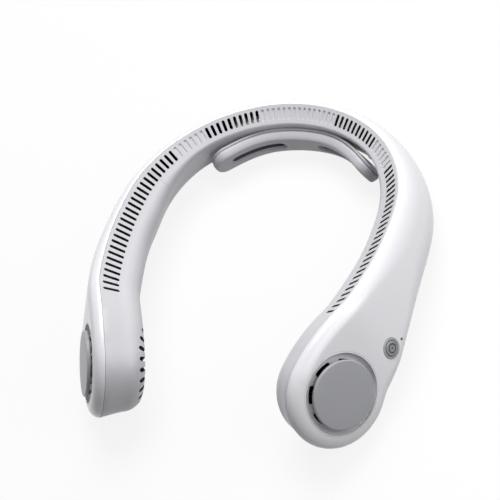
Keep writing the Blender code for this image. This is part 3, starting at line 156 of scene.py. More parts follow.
def base_edge(s):
    if abs(s) > BASE_TANGENT:
        return FAN_DEPTH + sqrt(HOUSING_RADIUS ** 2 - (FAN_DISTANCE - abs(s)) ** 2)
    depth = between(NAPE_DEPTH, ARM_DEPTH, ease(abs(s), ARM_START, ARM_FULL))
    return depth + arc_drop(BASE_BLEND_RADIUS, max(abs(s) - FAN_DISTANCE + BASE_RUN, 0.0))


def middle(s):
    halfway = (top_edge(s) + base_edge(s)) / 2
    return between(halfway, FAN_DEPTH, ease(abs(s), HOUSING_START, FAN_DISTANCE))


def housing_reach(angle):
    if angle > atan2(TOP_RUN, TOP_LIFT):
        return HOUSING_RADIUS
    toward = TOP_RUN * sin(angle) + TOP_LIFT * cos(angle)
    return sqrt(toward ** 2 + 2 * TOP_BLEND_RADIUS * HOUSING_RADIUS - HOUSING_RADIUS ** 2) - toward


def ridge_out(s):
    return between(NAPE_RIDGE_OUT, ARM_RIDGE_OUT, ease(abs(s), ARM_START, ARM_FULL))


def crown_height(s):
    return between(NAPE_CROWN, HOUSING_CROWN, ease(abs(s), ARM_START, HOUSING_START))


class HalfLine:
    """A line from the edge of the band to its middle, which carries one profile of a wall."""

    def __init__(self, edge, core, s, share):
        self.edge, self.core, self.s, self.share = edge, core, s, share
        self.reach = hypot(core[0] - edge[0], core[1] - edge[1])

    def point(self, distance, t):
        share = distance / self.reach
        s, h = (between(edge, core, share) for edge, core in zip(self.edge, self.core))
        spot = place(s, h, t)
        spot.z = max(spot.z, 0.0)
        return spot


def spaced(start, end, step):
    count = max(1, round(abs(end - start) / step))
    return [between(start, end, index / count) for index in range(count + 1)]


def edge_lines(edge, share, start, end, step=0.0022):
    return [HalfLine((s, edge(s)), (s, middle(s)), s, share) for s in spaced(start, end, step)]


def tip_lines(side, count=52):
    """Lines round the tip of a housing, from the rim side to the base side."""
    lines = []
    for index in range(1, count):
        turn = pi * index / count
        reach = housing_reach(turn)
        edge = (side * (FAN_DISTANCE + reach * sin(turn)), FAN_DEPTH - reach * cos(turn))
        lines.append(HalfLine(edge, (side * FAN_DISTANCE, FAN_DEPTH), side * FAN_DISTANCE, index / count))
    return lines


def inside_of(rows, wall, turn):
    """The rows of the other face of a wall. The first row stays in the parting plane, and rows that come
    too near the edge are left out."""
    inside = [(rows[0][0] + wall, rows[0][1])]
    for before, here, after in zip(rows, rows[1:], rows[2:]):
        run = (after[0] - before[0], after[1] - before[1])
        length = hypot(*run)
        inside.append((here[0] - turn * wall * run[1] / length, here[1] + turn * wall * run[0] / length))
    inside = [row for row in inside if row[0] >= rows[0][0] + THINNEST * wall]
    inside.append((rows[-1][0], rows[-1][1] + turn * wall))
    return inside


def crown_rows(line):
    """Profile of the shell: its rounded parting edge, the dome and the flat of the face, and the inside."""
    low = ridge_out(line.s) + SEAM / 2
    high = crown_height(line.s)
    wide = between(ARM_CROWN_WIDTH, HOUSING_CROWN_WIDTH, ease(abs(line.s), ARM_FULL, HOUSING_START))
    wide = min(wide, CROWN_REACH * line.reach)
    rows = [(SHELL_EDGE * (1 - sin(turn)), low + SHELL_EDGE * (1 - cos(turn))) for turn in EDGE_TURNS]
    for index in range(DOME_STEPS + 1):
        turn = between(SHELL_EDGE / high, pi / 2, index / DOME_STEPS)
        rows.append((wide * (1 - cos(turn)), low + high * sin(turn)))
    rows += [(between(rows[-1][0], line.reach, share), rows[-1][1]) for share in FLAT_SHARES]
    return rows[::-1] + inside_of(rows[1:], SHELL_WALL, -1)


def solid(name, bm, *paints):
    bmesh.ops.remove_doubles(bm, verts=bm.verts, dist=1e-6)
    bmesh.ops.recalc_face_normals(bm, faces=bm.faces)
    mesh = bpy.data.meshes.new(name)
    bm.to_mesh(mesh)
    bm.free()
    for paint in paints:
        mesh.materials.append(paint)
    piece = bpy.data.objects.new(name, mesh)
    bpy.context.scene.collection.objects.link(piece)
    return piece


def skin(bm, lines, rows_of, loop, shown=inf):
    """Skins the profiles of neighbouring half lines. An open strip gets a wall across each end. Faces
    past the rows that are shown lie inside the housing and take the second material, a painted shade."""
    grid = [[bm.verts.new(line.point(*row)) for row in rows_of(line)] for line in lines]
    pairs = list(zip(grid, grid[1:])) + ([(grid[-1], grid[0])] if loop else [])
    for one, other in pairs:
        for index in range(len(one) - 1):
            face = bm.faces.new((one[index], other[index], other[index + 1], one[index + 1]))
            face.material_index = int(index >= shown)
    if not loop:
        bm.faces.new(grid[0])
        bm.faces.new(grid[-1])


def drum(name, outline_at, levels, matrix):
    """A solid with one outline at each height, the outline growing or shrinking by a distance."""
    bm = bmesh.new()
    add_drum(bm, outline_at, levels, matrix)
    return solid(name, bm)


def add_drum(bm, outline_at, levels, matrix, dark=()):
    """The walls above the levels counted in dark take the second material, a painted shade."""
    rings = [[bm.verts.new(matrix @ Vector((x, y, z))) for x, y in outline_at(grow)]
             for z, grow in levels]
    for level, (one, other) in enumerate(zip(rings, rings[1:])):
        for index in range(len(one)):
            after = (index + 1) % len(one)
            face = bm.faces.new((one[index], one[after], other[after], other[index]))
            face.material_index = int(level in dark)
    bm.faces.new(rings[0][::-1])
    bm.faces.new(rings[-1])


def disc(radius, steps=96, x=0.0, y=0.0):
    turns = [2 * pi * index / steps for index in range(steps)]
    return lambda grow: [(x + (radius + grow) * cos(turn), y + (radius + grow) * sin(turn))
                         for turn in turns]


def carve(piece, tool, operation="DIFFERENCE"):
    """Cuts one solid out of another, or joins it on, and keeps the finished mesh."""
    boolean = piece.modifiers.new("carve", "BOOLEAN")
    boolean.operation, boolean.solver, boolean.object = operation, "EXACT", tool
    bpy.context.view_layer.update()
    mesh = bpy.data.meshes.new_from_object(piece.evaluated_get(bpy.context.evaluated_depsgraph_get()))
    piece.modifiers.clear()
    piece.data = mesh
    bpy.data.objects.remove(tool)


class Signal:
    """One output of a material's nodes. Sums on it add Math nodes, and node() adds any other kind."""

    def __init__(self, socket):
        self.socket = socket

    def node(self, kind, settings, sockets, output=0):
        tree = self.socket.id_data
        made = tree.nodes.new(kind)
        for name, value in settings.items():
            if name == "stops":
                ramp = made.color_ramp.elements
                for place_on, shade in value[2:]:
                    ramp.new(place_on)
                for stop, (place_on, shade) in zip(ramp, sorted(value)):
                    stop.position, stop.color = place_on, shade
            else:
                setattr(made, name, value)
        for name, value in sockets.items():
            if isinstance(value, Signal):
                tree.links.new(value.socket, made.inputs[name])
            else:
                made.inputs[name].default_value = value
        return Signal(made.outputs[output])

    def sum_of(self, operation, one, other):
        return self.node("ShaderNodeMath", {"operation": operation}, {0: one, 1: other})

    def __add__(self, other):
        return self.sum_of("ADD", self, other)

    def __radd__(self, other):
        return self.sum_of("ADD", other, self)

    def __mul__(self, other):
        return self.sum_of("MULTIPLY", self, other)

    def __rmul__(self, other):
        return self.sum_of("MULTIPLY", other, self)

    def noise(self, size, detail=2.0, **more):
        """Noise whose features are about that size in metres."""
        sockets = {"Vector": self, "Scale": 1 / size, "Detail": detail, **more}
        return self.node("ShaderNodeTexNoise", {}, sockets, "Fac")

    def tint(self, low, high):
        """A colour between two, by this value."""
        sockets = {"Factor": self, 6: (*low, 1.0), 7: (*high, 1.0)}
        return self.node("ShaderNodeMix", {"data_type": "RGBA", "clamp_factor": True}, sockets, 2)

    def stretched(self, x, y, z):
        sockets = {0: self, 1: (x, y, z)}
        return self.node("ShaderNodeVectorMath", {"operation": "MULTIPLY"}, sockets)


def finish(name, **settings):
    """A new material, a signal of the place on the piece in metres, and the function that wires it."""
    paint = bpy.data.materials.new(name)
    paint.use_nodes = True
    tree = paint.node_tree
    shader = tree.nodes["Principled BSDF"]
    for socket, value in settings.items():
        shader.inputs[socket.replace("_", " ")].default_value = value
    spot = Signal(tree.nodes.new("ShaderNodeTexCoord").outputs["Object"])

    def wire(colour, roughness, height, depth):
        bump = spot.node("ShaderNodeBump", {}, {"Height": height, "Distance": depth, "Strength": 1.0})
        for socket, signal in (("Base Color", colour), ("Roughness", roughness), ("Normal", bump)):
            tree.links.new(signal.socket, shader.inputs[socket])
        return paint

    return spot, wire


def moulding(name, colour, shade, roughness, grain, depth, **settings):
    """Moulded plastic: a slow drift between two colours, a fine mould grain, and faint handling marks."""
    spot, wire = finish(name, **settings)
    drift = spot.noise(0.06)
    marks = spot.noise(0.012, 4.0, Distortion=0.8)
    fine = spot.noise(grain, 3.0)
    flow = spot.noise(0.004, 2.0)
    hue = (drift * 0.5 + fine * 0.3 + flow * 0.2).tint(colour, shade)
    rough = roughness * (0.86 + marks * 0.2 + fine * 0.08)
    return wire(hue, rough, fine * 0.8 + flow * 0.2, depth)


def fit(piece, paint, slot, *nodes, body="shell", crease=32):
    """Finishes a piece: its smoothing, its material unless it has some already, its body, and the nodes
    that it stands for."""
    piece.data.shade_smooth()
    piece.data.set_sharp_from_angle(angle=radians(crease))
    if not piece.data.materials:
        piece.data.materials.append(paint)
    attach(piece, body)
    if nodes:
        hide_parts(*nodes)
    return piece


HOUSING = frame_at(FAN_DISTANCE, FAN_DEPTH, 0.0)
FACE = ridge_out(FAN_DISTANCE) + SEAM / 2 + crown_height(FAN_DISTANCE)
GUARD_RADIUS, DISH_DEPTH, GUARD_FLOOR = 0.0244, 0.0040, 0.0016
GUARD_TOP = FACE - DISH_DEPTH
BUTTON_FROM_FAN, BUTTON_DEPTH = 0.0355, 0.0380
BUTTON = frame_at(FAN_DISTANCE - BUTTON_FROM_FAN, BUTTON_DEPTH, 0.0)
LAMP_BACK, LAMP_DOWN = 0.0093, 0.0020
LAMP = BUTTON @ Matrix.Translation((-LAMP_BACK, LAMP_DOWN, 0))
BEZEL_RADIUS, LAMP_RADIUS = 0.0061, 0.0009
HOLE_FROM, HOLE_PAST = 0.005, 0.0002
GUARD_GAP, GUARD_LIP, KEY_GAP, KEY_LIP = 0.0001, 0.0001, 0.00015, 0.0002

shell_white = moulding("gloss_white_shell", (0.80, 0.80, 0.83), (0.83, 0.83, 0.85), 0.20, 0.0011, 0.000004,
                       Coat_Weight=0.25, Coat_Roughness=0.08)
# What lies deep in the hollow band gets no light through its narrow slots, so its shade is painted near
# black.
painted_hollow_shade = moulding("painted_shade_inside", (0.010, 0.010, 0.011), (0.016, 0.016, 0.018), 0.75, 0.0006,
                       0.000004)

bm = bmesh.new()
shell_lines = edge_lines(top_edge, 0.0, -FAN_DISTANCE, FAN_DISTANCE) + tip_lines(1)
shell_lines += edge_lines(base_edge, 1.0, -FAN_DISTANCE, FAN_DISTANCE)[::-1] + tip_lines(-1)[::-1]
# Rows past those shown are the inside of the shell and take the near black painted shade.
skin(bm, shell_lines, crown_rows, loop=True, shown=SHELL_SHOWN)
outer_shell = solid("outer_shell_moulding", bm, shell_white, painted_hollow_shade)


def hole(outline, lip, matrix):
    """A hole through the face of the shell, its edge broken by a small lip."""
    levels = [(HOLE_FROM, 0.0), (FACE - lip, 0.0), (FACE + HOLE_PAST, lip + HOLE_PAST)]
    carve(outer_shell, drum("hole", outline, levels, matrix))


for side in (1, -1):
    hole(disc(GUARD_RADIUS + GUARD_GAP, 160), GUARD_LIP, frame_at(side * FAN_DISTANCE, FAN_DEPTH, 0.0))
hole(disc(BEZEL_RADIUS + KEY_GAP), KEY_LIP, BUTTON)
hole(disc(LAMP_RADIUS + KEY_GAP, 32), KEY_LIP, LAMP)
fit(outer_shell, shell_white, "shell_gloss", "outer_shell", crease=28)


# The inner covers are satin grey ABS: one behind the nape and one in each arm and housing. Each starts
# at the parting edge as the slotted rim strip, rounds over and becomes the wall on the neck side. They
# clip into the shell, the nape one with four screws under the pad, and they butt at a fine seam.
NAPE_STRIP_END, ARM_STRIP_END = -0.0052, -0.0065
NAPE_INNER, ARM_INNER, HOUSING_INNER = -0.0070, -0.0160, -0.0185
RIM_DRAFT = radians(17.0)
NAPE_ROUNDING, ARM_ROUNDING = 0.0020, 0.0110
COVER_EDGE, STRIP_SHARES, ROUNDING_STEPS = 0.0002, (0.35, 0.7, 0.97), 10
COVER_SHOWN = len(EDGE_TURNS) + 1 + len(STRIP_SHARES) + ROUNDING_STEPS + len(FLAT_SHARES)
SLOT_WIDTH, SLOT_CHAMFER, BLIND_DEPTH, DOT_RADIUS = 0.0019, 0.00010, 0.0006, 0.0004
SLOT_PITCH, SLOT_PITCH_GROWTH = 0.00336, 0.0000142
NAPE_SLOT_LENGTH, ARM_SLOT_LENGTH = 0.0075, 0.0106
CENTRE_BLIND, NAPE_OPEN, SIDE_BLIND, ARM_OPEN, SEAM_SLOT = 7, 10, 6, 27, 28
GRILLE_COUNT, GRILLE_INNER, GRILLE_OUTER = 24, 0.0095, 0.0262
GRILLE_INNER_END, GRILLE_OUTER_END, GRILLE_RISE = 0.0005, 0.0014, 0.0088
NAPE_SCREW_S, NAPE_SCREW_DEPTHS, SCREW_HOLE = 0.0560, (0.0135, 0.0215), 0.0012


def inner_out(s):
    arm = between(NAPE_INNER, ARM_INNER, ease(abs(s), ARM_START, ARM_FULL))
    return between(arm, HOUSING_INNER, ease(abs(s), ARM_FULL, HOUSING_START))


def cover_rows(line):
    """Profile of a cover: the rounded parting edge, the drafted strip, the rounding and the wall."""
    arm = ease(abs(line.s), ARM_START, ARM_FULL)
    high = ridge_out(line.s) - SEAM / 2
    strip_end = between(NAPE_STRIP_END, ARM_STRIP_END, arm)
    rounding = between(NAPE_ROUNDING, ARM_ROUNDING, arm)
    drawn_in = (high - strip_end) * tan(between(RIM_DRAFT, NAPE_TILT, line.share))
    turns = (*EDGE_TURNS, pi / 2)
    rows = [(COVER_EDGE * (1 - sin(turn)), high - COVER_EDGE * (1 - cos(turn))) for turn in turns]
    rows += [(drawn_in * share, between(high, strip_end, share)) for share in STRIP_SHARES]
    for index in range(1, ROUNDING_STEPS + 1):
        turn = pi / 2 * index / ROUNDING_STEPS
        out = between(strip_end, inner_out(line.s), sin(turn))
        rows.append((drawn_in + rounding * (1 - cos(turn)), out))
    rows += [(between(rows[-1][0], line.reach, share), rows[-1][1]) for share in FLAT_SHARES]
    return rows[::-1] + inside_of(rows, SHELL_WALL, 1)


def slot_distance(number):
    return number * SLOT_PITCH + number * number * SLOT_PITCH_GROWTH


def capsule(start, end, start_radius, end_radius, steps=7):
    """Outline of a slot with round ends between two points along x or y."""
    heading = atan2(end[1] - start[1], end[0] - start[0])

    def outline(grow):
        points = []
        for (x, y), radius, turned in ((end, end_radius, heading), (start, start_radius, heading + pi)):
            for index in range(steps + 1):
                turn = turned - pi / 2 + pi * index / steps
                points.append((x + (radius + grow) * cos(turn), y + (radius + grow) * sin(turn)))
        return points

    return outline


def rim_slots(numbers):
    """Cutters for the numbered slots, counted from the middle of the nape, and for the dot that each
    blind one has at its end."""
    slots, dots = bmesh.new(), bmesh.new()
    for number in numbers:
        count = abs(number)
        past_side = count - CENTRE_BLIND - NAPE_OPEN
        blind = count <= CENTRE_BLIND or 0 < past_side <= SIDE_BLIND
        s = slot_distance(count) * (1 if number > 0 else -1)
        _, along, down, out = section(s)
        toward_ridge = out * cos(RIM_DRAFT) - down * sin(RIM_DRAFT)
        matrix = Matrix((along, toward_ridge, along.cross(toward_ridge))).transposed().to_4x4()
        matrix.translation = place(s, top_edge(s) + ridge_out(s) * tan(RIM_DRAFT), 0.0)
        length = between(NAPE_SLOT_LENGTH, ARM_SLOT_LENGTH, ease(abs(s), ARM_START, HOUSING_START))
        half = (length - SLOT_WIDTH) / 2
        depth = BLIND_DEPTH if blind else 2 * SHELL_WALL
        outline = capsule((0, -half), (0, half), SLOT_WIDTH / 2, SLOT_WIDTH / 2)
        levels = [(-depth, -0.0001), (-SLOT_CHAMFER, 0.0), (SHELL_WALL, SHELL_WALL + SLOT_CHAMFER)]
        # Open slots have their deep walls painted near black as shade.
        add_drum(slots, outline, levels, matrix, dark=() if blind else (0,))
        if blind:
            levels = [(-2.2 * BLIND_DEPTH, 0.0), (SHELL_WALL, 0.0)]
            add_drum(dots, disc(DOT_RADIUS, 12, 0.0, half), levels, matrix)
    return slots, dots


def cut_rim(cover, numbers):
    slots, dots = rim_slots(numbers)
    carve(cover, solid("rim_slots", slots, cover_grey, painted_hollow_shade))
    if dots.verts:
        carve(cover, solid("slot_dots", dots))
    else:
        dots.free()


def twin(piece, name):
    """The left copy of a right piece, turned over across the middle of the neck."""
    flip, across = Matrix.Scale(-1, 4, (0, 1, 0)), Matrix.Scale(-1, 4, (1, 0, 0))
    mesh = piece.data.copy()
    mesh.transform(flip)
    mesh.flip_normals()
    copy = bpy.data.objects.new(name, mesh)
    bpy.context.scene.collection.objects.link(copy)
    copy.matrix_world = across @ piece.matrix_world @ flip
    return copy


cover_seam = (slot_distance(SEAM_SLOT) + slot_distance(SEAM_SLOT + 1)) / 2
cover_grey = moulding("satin_grey_cover", (0.62, 0.62, 0.65), (0.66, 0.66, 0.685), 0.36, 0.00035, 0.000006)

bm = bmesh.new()
edge = cover_seam - SEAM / 2
# The inside of the nape cover takes the near black painted shade.
skin(bm, edge_lines(top_edge, 0.0, -edge, edge), cover_rows, loop=False, shown=COVER_SHOWN)
skin(bm, edge_lines(base_edge, 1.0, -edge, edge), cover_rows, loop=False, shown=COVER_SHOWN)
nape_cover = solid("nape_cover_moulding", bm, cover_grey, painted_hollow_shade)
cut_rim(nape_cover, range(-SEAM_SLOT, SEAM_SLOT + 1))
nape_screw_frames = [frame_at(side * NAPE_SCREW_S, h, 0.0) for side in (1, -1) for h in NAPE_SCREW_DEPTHS]
for screw_frame in nape_screw_frames:
    levels = [(2 * NAPE_INNER, 0.0), (0.0, 0.0)]
    carve(nape_cover, drum("screw_hole", disc(SCREW_HOLE, 24), levels, screw_frame))
fit(nape_cover, cover_grey, "cover_satin", "nape_inner_cover")

bm = bmesh.new()
edge = cover_seam + SEAM / 2
arm_lines = edge_lines(top_edge, 0.0, edge, FAN_DISTANCE) + tip_lines(1)
arm_lines += edge_lines(base_edge, 1.0, edge, FAN_DISTANCE)[::-1]
# The inside of the arm cover takes the near black painted shade.
skin(bm, arm_lines, cover_rows, loop=False, shown=COVER_SHOWN)
arm_cover = solid("right_arm_cover_moulding", bm, cover_grey, painted_hollow_shade)
cut_rim(arm_cover, range(SEAM_SLOT + 1, CENTRE_BLIND + NAPE_OPEN + SIDE_BLIND + ARM_OPEN + 1))
grille = bmesh.new()
for index in range(GRILLE_COUNT):
    turn = HOUSING @ Matrix.Rotation(2 * pi * (index + 0.5) / GRILLE_COUNT, 4, "Z")
    ends = (GRILLE_INNER + GRILLE_INNER_END, 0), (GRILLE_OUTER - GRILLE_OUTER_END, 0)
    levels = [(-0.0006, 0.0008), (0.0002, 0.0), (GRILLE_RISE, 0.0)]
    levels = [(HOUSING_INNER + rise, grow) for rise, grow in levels]
    # The deep walls of the grille slots take the near black painted shade.
    add_drum(grille, capsule(*ends, GRILLE_INNER_END, GRILLE_OUTER_END), levels, turn, dark=(1,))
carve(arm_cover, solid("grille_slots", grille, cover_grey, painted_hollow_shade))
left_arm_cover = twin(arm_cover, "left_arm_cover_moulding")


# The charging socket sits on the board and opens through the base wall of the right arm: a drawn and
# nickel plated steel shell with a black tongue that carries the gold contacts.
def plate(wide, deep, corner):
    """Outline of a rectangle with round corners that grows by a distance."""
    def outline(grow):
        points = []
        for to_x, to_y, start in ((1, 1, 0.0), (-1, 1, pi / 2), (-1, -1, pi), (1, -1, 3 * pi / 2)):
            for index in range(7):
                turn = start + pi / 2 * index / 6
                x = to_x * (wide / 2 - corner) + (corner + grow) * cos(turn)
                points.append((x, to_y * (deep / 2 - corner) + (corner + grow) * sin(turn)))
        return points

    return outline


SOCKET_WIDTH, SOCKET_HEIGHT, SOCKET_DEPTH = 0.0089, 0.0032, 0.0070
SOCKET_FROM_BUTTON, SOCKET_FRONT, SOCKET_CORNER = 0.0200, 0.0100, 0.00155
SOCKET_SHELL, OPENING_HALF = 0.0003, 0.0054
TONGUE_WIDTH, TONGUE_THICKNESS, TONGUE_FROM, TONGUE_END = 0.0062, 0.0007, -0.0066, -0.0020
CONTACT_COUNT, CONTACT_PITCH, CONTACT_LIFT = 12, 0.0005, 0.00036
BOARD = BUTTON @ Matrix.Rotation(radians(20.0), 4, "Z")
BOARD_TOP, BOARD_UNDER = 0.0046, 0.0036
socket_middle = BOARD_UNDER - CLEAR - SOCKET_HEIGHT / 2
socket_at = BOARD @ Matrix.Translation((-SOCKET_FROM_BUTTON, SOCKET_FRONT, socket_middle))
socket_at = socket_at @ Matrix.Rotation(-pi / 2, 4, "X")
opening = plate(SOCKET_WIDTH + 2 * CLEAR, SOCKET_HEIGHT + 2 * CLEAR, 0.0017)
carve(arm_cover, drum("socket_opening", opening, [(-OPENING_HALF, 0.0), (OPENING_HALF, 0.0)], socket_at))
fit(arm_cover, cover_grey, "cover_satin", "right_arm_inner_cover")
fit(left_arm_cover, cover_grey, "cover_satin", "left_arm_inner_cover")

spot, wire = finish("nickel_plate", Metallic=1.0)
draw_lines = spot.stretched(1.0, 1.0, 0.12).noise(0.00012, 3.0)
drawn = draw_lines.tint((0.56, 0.56, 0.57), (0.68, 0.68, 0.68))
nickel = wire(drawn, 0.18 + draw_lines * 0.14, draw_lines, 0.000002)
spot, wire = finish("gold_contact", Metallic=1.0)
wipe = spot.noise(0.0002, 3.0)
gold = wire(wipe.tint((0.75, 0.52, 0.18), (0.86, 0.64, 0.28)), 0.2 + wipe * 0.15, wipe, 0.000001)
nylon_dark = moulding("dark_nylon", (0.030, 0.031, 0.034), (0.045, 0.046, 0.050), 0.46, 0.0003, 0.000005)

levels = [(-SOCKET_DEPTH, -0.0002), (-SOCKET_DEPTH + 0.0002, 0.0), (-0.0001, 0.0), (0.0, -0.0001)]
drawn_can = plate(SOCKET_WIDTH, SOCKET_HEIGHT, SOCKET_CORNER)
socket_shell = drum("usb_socket_shell", drawn_can, levels, socket_at)
pocket = plate(SOCKET_WIDTH - 2 * SOCKET_SHELL, SOCKET_HEIGHT - 2 * SOCKET_SHELL,
               SOCKET_CORNER - SOCKET_SHELL)
carve(socket_shell, drum("pocket", pocket, [(-SOCKET_DEPTH + 0.0004, 0.0), (0.002, 0.0)], socket_at))
fit(socket_shell, nickel, "socket_metal", "usb_socket")
levels = [(TONGUE_FROM, 0.0), (TONGUE_END - 0.0003, 0.0), (TONGUE_END, -0.00025)]
tongue = drum("usb_socket_tongue", plate(TONGUE_WIDTH, TONGUE_THICKNESS, 0.0003), levels, socket_at)
fit(tongue, nylon_dark, "nylon_dark")
contacts = bmesh.new()
for index in range(CONTACT_COUNT):
    for face in (-1, 1):
        aside = CONTACT_PITCH * (index - (CONTACT_COUNT - 1) / 2)
        lie = socket_at @ Matrix.Translation((aside, face * CONTACT_LIFT, 0))
        add_drum(contacts, plate(0.0003, 0.00006, 0.00002), [(-0.0063, 0.0), (-0.0026, 0.0)], lie)
fit(solid("usb_socket_contacts", contacts), gold, "socket_metal")


# The intake guard is a dished ring in the shell's own white round a slotted floor. Its flange sits
# under the edge of the shell, and three screws from the front hold the motor plate against it.
INTAKE_COUNT, INTAKE_INNER, INTAKE_OUTER, INTAKE_CORNER = 7, 0.0145, 0.0196, 0.0011
INTAKE_SWEEP, INTAKE_TURN = radians(33.0), radians(-37.0)
GUARD_RIM, GUARD_FLANGE, DISH_RADIUS, DISH_STEPS = 0.0007, 0.0010, 0.0205, 12
MOTOR_SCREWS, MOTOR_SCREW_CIRCLE = 3, 0.0075


def filleted(points):
    """Profile points, each corner rounded by its own third number."""
    done = []
    for index, point in enumerate(points):
        here = Vector(point[:2])
        if len(point) < 3:
            done.append(tuple(here))
            continue
        into = Vector(points[index - 1][:2]) - here
        away = Vector(points[(index + 1) % len(points)][:2]) - here
        half = into.angle(away) / 2
        reach = min(point[2] / tan(half), 0.48 * into.length, 0.48 * away.length)
        radius = reach * tan(half)
        hub = here + (into.normalized() + away.normalized()).normalized() * radius / sin(half)
        start, end = here + into.normalized() * reach - hub, here + away.normalized() * reach - hub
        for share in (0.0, 0.25, 0.5, 0.75, 1.0):
            done.append(tuple(hub + start.lerp(end, share).normalized() * radius))
    return done


def lathe(name, profile, matrix, steps=96, loop=False):
    """A turned piece: radius and height points swept round the z axis of its matrix."""
    bm = bmesh.new()
    rings = []
    for radius, height in filleted(profile):
        turns = [2 * pi * k / steps for k in range(steps if radius > 1e-7 else 1)]
        rings.append([bm.verts.new((radius * cos(turn), radius * sin(turn), height)) for turn in turns])
    for one, other in zip(rings, rings[1:] + ([rings[0]] if loop else [])):
        if len(one) == len(other) == 1:
            continue
        for k in range(steps):
            ends = (one, k), (one, k + 1), (other, k + 1), (other, k)
            corners = [ring[step % len(ring)] for ring, step in ends]
            bm.faces.new(list(dict.fromkeys(corners)))
    piece = solid(name, bm)
    piece.matrix_world = matrix
    return piece


def arc_slot(inner, outer, turn, sweep, corner):
    """Outline of an arc shaped slot with round corners that grows by a distance."""
    def outline(grow):
        points = []
        for radius, outward, sides in ((outer + grow, 1, (-1, 1)), (inner - grow, -1, (1, -1))):
            hub_radius = radius - outward * (corner + grow)
            half = sweep / 2 - (corner + grow) / hub_radius + grow / hub_radius
            for side, bends in zip(sides, ((1.0, 0.75, 0.5, 0.25, 0.0), (0.0, 0.25, 0.5, 0.75, 1.0))):
                hub = turn + side * half
                for bend in bends:
                    lean = bend * pi / 2
                    far = hub_radius + outward * (corner + grow) * cos(lean)
                    aside = side * (corner + grow) * sin(lean)
                    points.append((far * cos(hub) - aside * sin(hub), far * sin(hub) + aside * cos(hub)))
                if side == sides[0]:
                    for step in range(1, 8):
                        angle = turn + side * half * (1 - step / 4)
                        points.append((radius * cos(angle), radius * sin(angle)))
        return points

    return outline


rim, under_shell = GUARD_RADIUS - GUARD_RIM, FACE - SHELL_WALL - 2 * CLEAR
turns = [pi / 2 * k / DISH_STEPS for k in range(1, DISH_STEPS)]
dish = [(between(DISH_RADIUS, rim, sin(turn)), FACE - DISH_DEPTH * cos(turn)) for turn in turns]
profile = [(0.0, GUARD_TOP), (DISH_RADIUS - 0.0005, GUARD_TOP, 0.0004)] + dish
profile += [(rim, FACE), (GUARD_RADIUS, FACE, 0.0001), (GUARD_RADIUS, under_shell)]
profile += [(GUARD_RADIUS + GUARD_FLANGE, under_shell), (GUARD_RADIUS + GUARD_FLANGE, GUARD_TOP)]
profile += [(GUARD_RADIUS, GUARD_TOP - GUARD_FLOOR), (0.0, GUARD_TOP - GUARD_FLOOR)]
guard = lathe("right_guard_moulding", profile, HOUSING, 160)
guard_white = moulding("white_guard", (0.79, 0.79, 0.82), (0.82, 0.82, 0.84), 0.24, 0.0007, 0.000004)
intakes = bmesh.new()
for index in range(INTAKE_COUNT):
    turn = INTAKE_TURN + 2 * pi * index / INTAKE_COUNT
    outline = arc_slot(INTAKE_INNER, INTAKE_OUTER, turn, INTAKE_SWEEP, INTAKE_CORNER)
    levels = [(GUARD_TOP - 0.004, 0.0), (FACE - 0.0012, 0.0), (FACE + 0.001, 0.0)]
    # The deep walls of the intake slots take the near black painted shade.
    add_drum(intakes, outline, levels, HOUSING, dark=(0,))
guard.data.materials.append(guard_white)
guard.data.materials.append(painted_hollow_shade)
carve(guard, solid("intake_slots", intakes, guard_white, painted_hollow_shade))
turns = [2 * pi * k / MOTOR_SCREWS for k in range(MOTOR_SCREWS)]
screw_places = [(MOTOR_SCREW_CIRCLE * cos(turn), MOTOR_SCREW_CIRCLE * sin(turn)) for turn in turns]
for x, y in screw_places:
    carve(guard, drum("screw_hole", disc(SCREW_HOLE, 24, x, y), [(0.0, 0.0), (FACE, 0.0)], HOUSING))
left_guard = twin(guard, "left_guard_moulding")
fit(guard, guard_white, "guard_grey", "right_intake_guard")
fit(left_guard, guard_white, "guard_grey", "left_intake_guard")


# The cap is a flat mid grey disc with a fine bevel that stands over the guard on seven short posts,
# so air is drawn in all round under it. Its face has a fine spun grain.
CAP_RADIUS, CAP_TOP, CAP_THICKNESS = 0.0200, FACE + 0.0026, 0.0022
CAP_BEVEL, CAP_LIP, CAP_HOLLOW = 0.0005, 0.0014, 0.0008
POST_RADIUS, POST_CIRCLE = 0.0014, 0.0170
cap_under = CAP_TOP - CAP_THICKNESS
profile = [(0.0, CAP_TOP), (CAP_RADIUS / 2, CAP_TOP), (CAP_RADIUS - CAP_BEVEL, CAP_TOP, 0.0003)]
profile += [(CAP_RADIUS, CAP_TOP - CAP_BEVEL, 0.0003)]
profile += [(CAP_RADIUS, cap_under, 0.0004), (CAP_RADIUS - CAP_LIP, cap_under, 0.0002)]
profile += [(CAP_RADIUS - CAP_LIP, cap_under + CAP_HOLLOW), (0.0, cap_under + CAP_HOLLOW)]
cap = lathe("right_cap_moulding", profile, HOUSING, 160)
posts = bmesh.new()
for index in range(INTAKE_COUNT):
    turn = INTAKE_TURN + 2 * pi * (index + 0.5) / INTAKE_COUNT
    post = disc(POST_RADIUS, 24, POST_CIRCLE * cos(turn), POST_CIRCLE * sin(turn))
    foot = GUARD_TOP + CLEAR
    add_drum(posts, post, [(foot, -0.0002), (foot + 0.0003, 0.0), (CAP_TOP - 0.0007, 0.0)], HOUSING)
carve(cap, solid("cap_posts", posts), "UNION")
cap_grey = moulding("satin_cap_grey", (0.37, 0.373, 0.392), (0.395, 0.398, 0.417), 0.36, 0.00028, 0.000005)
left_cap = twin(cap, "left_cap_moulding")
fit(cap, cap_grey, "cap_grey", "right_cap")
fit(left_cap, cap_grey, "cap_grey", "left_cap")


# Each motor stands on a dark nylon plate under the guard. The tube of the plate holds a sintered bronze
# bearing and the wound stator, and the steel can with its ring magnet turns round them on the shaft.
def dress(paint, *names):
    for name in names:
        for place_of in frame["nodes"][name].material_slots:
            place_of.material = paint


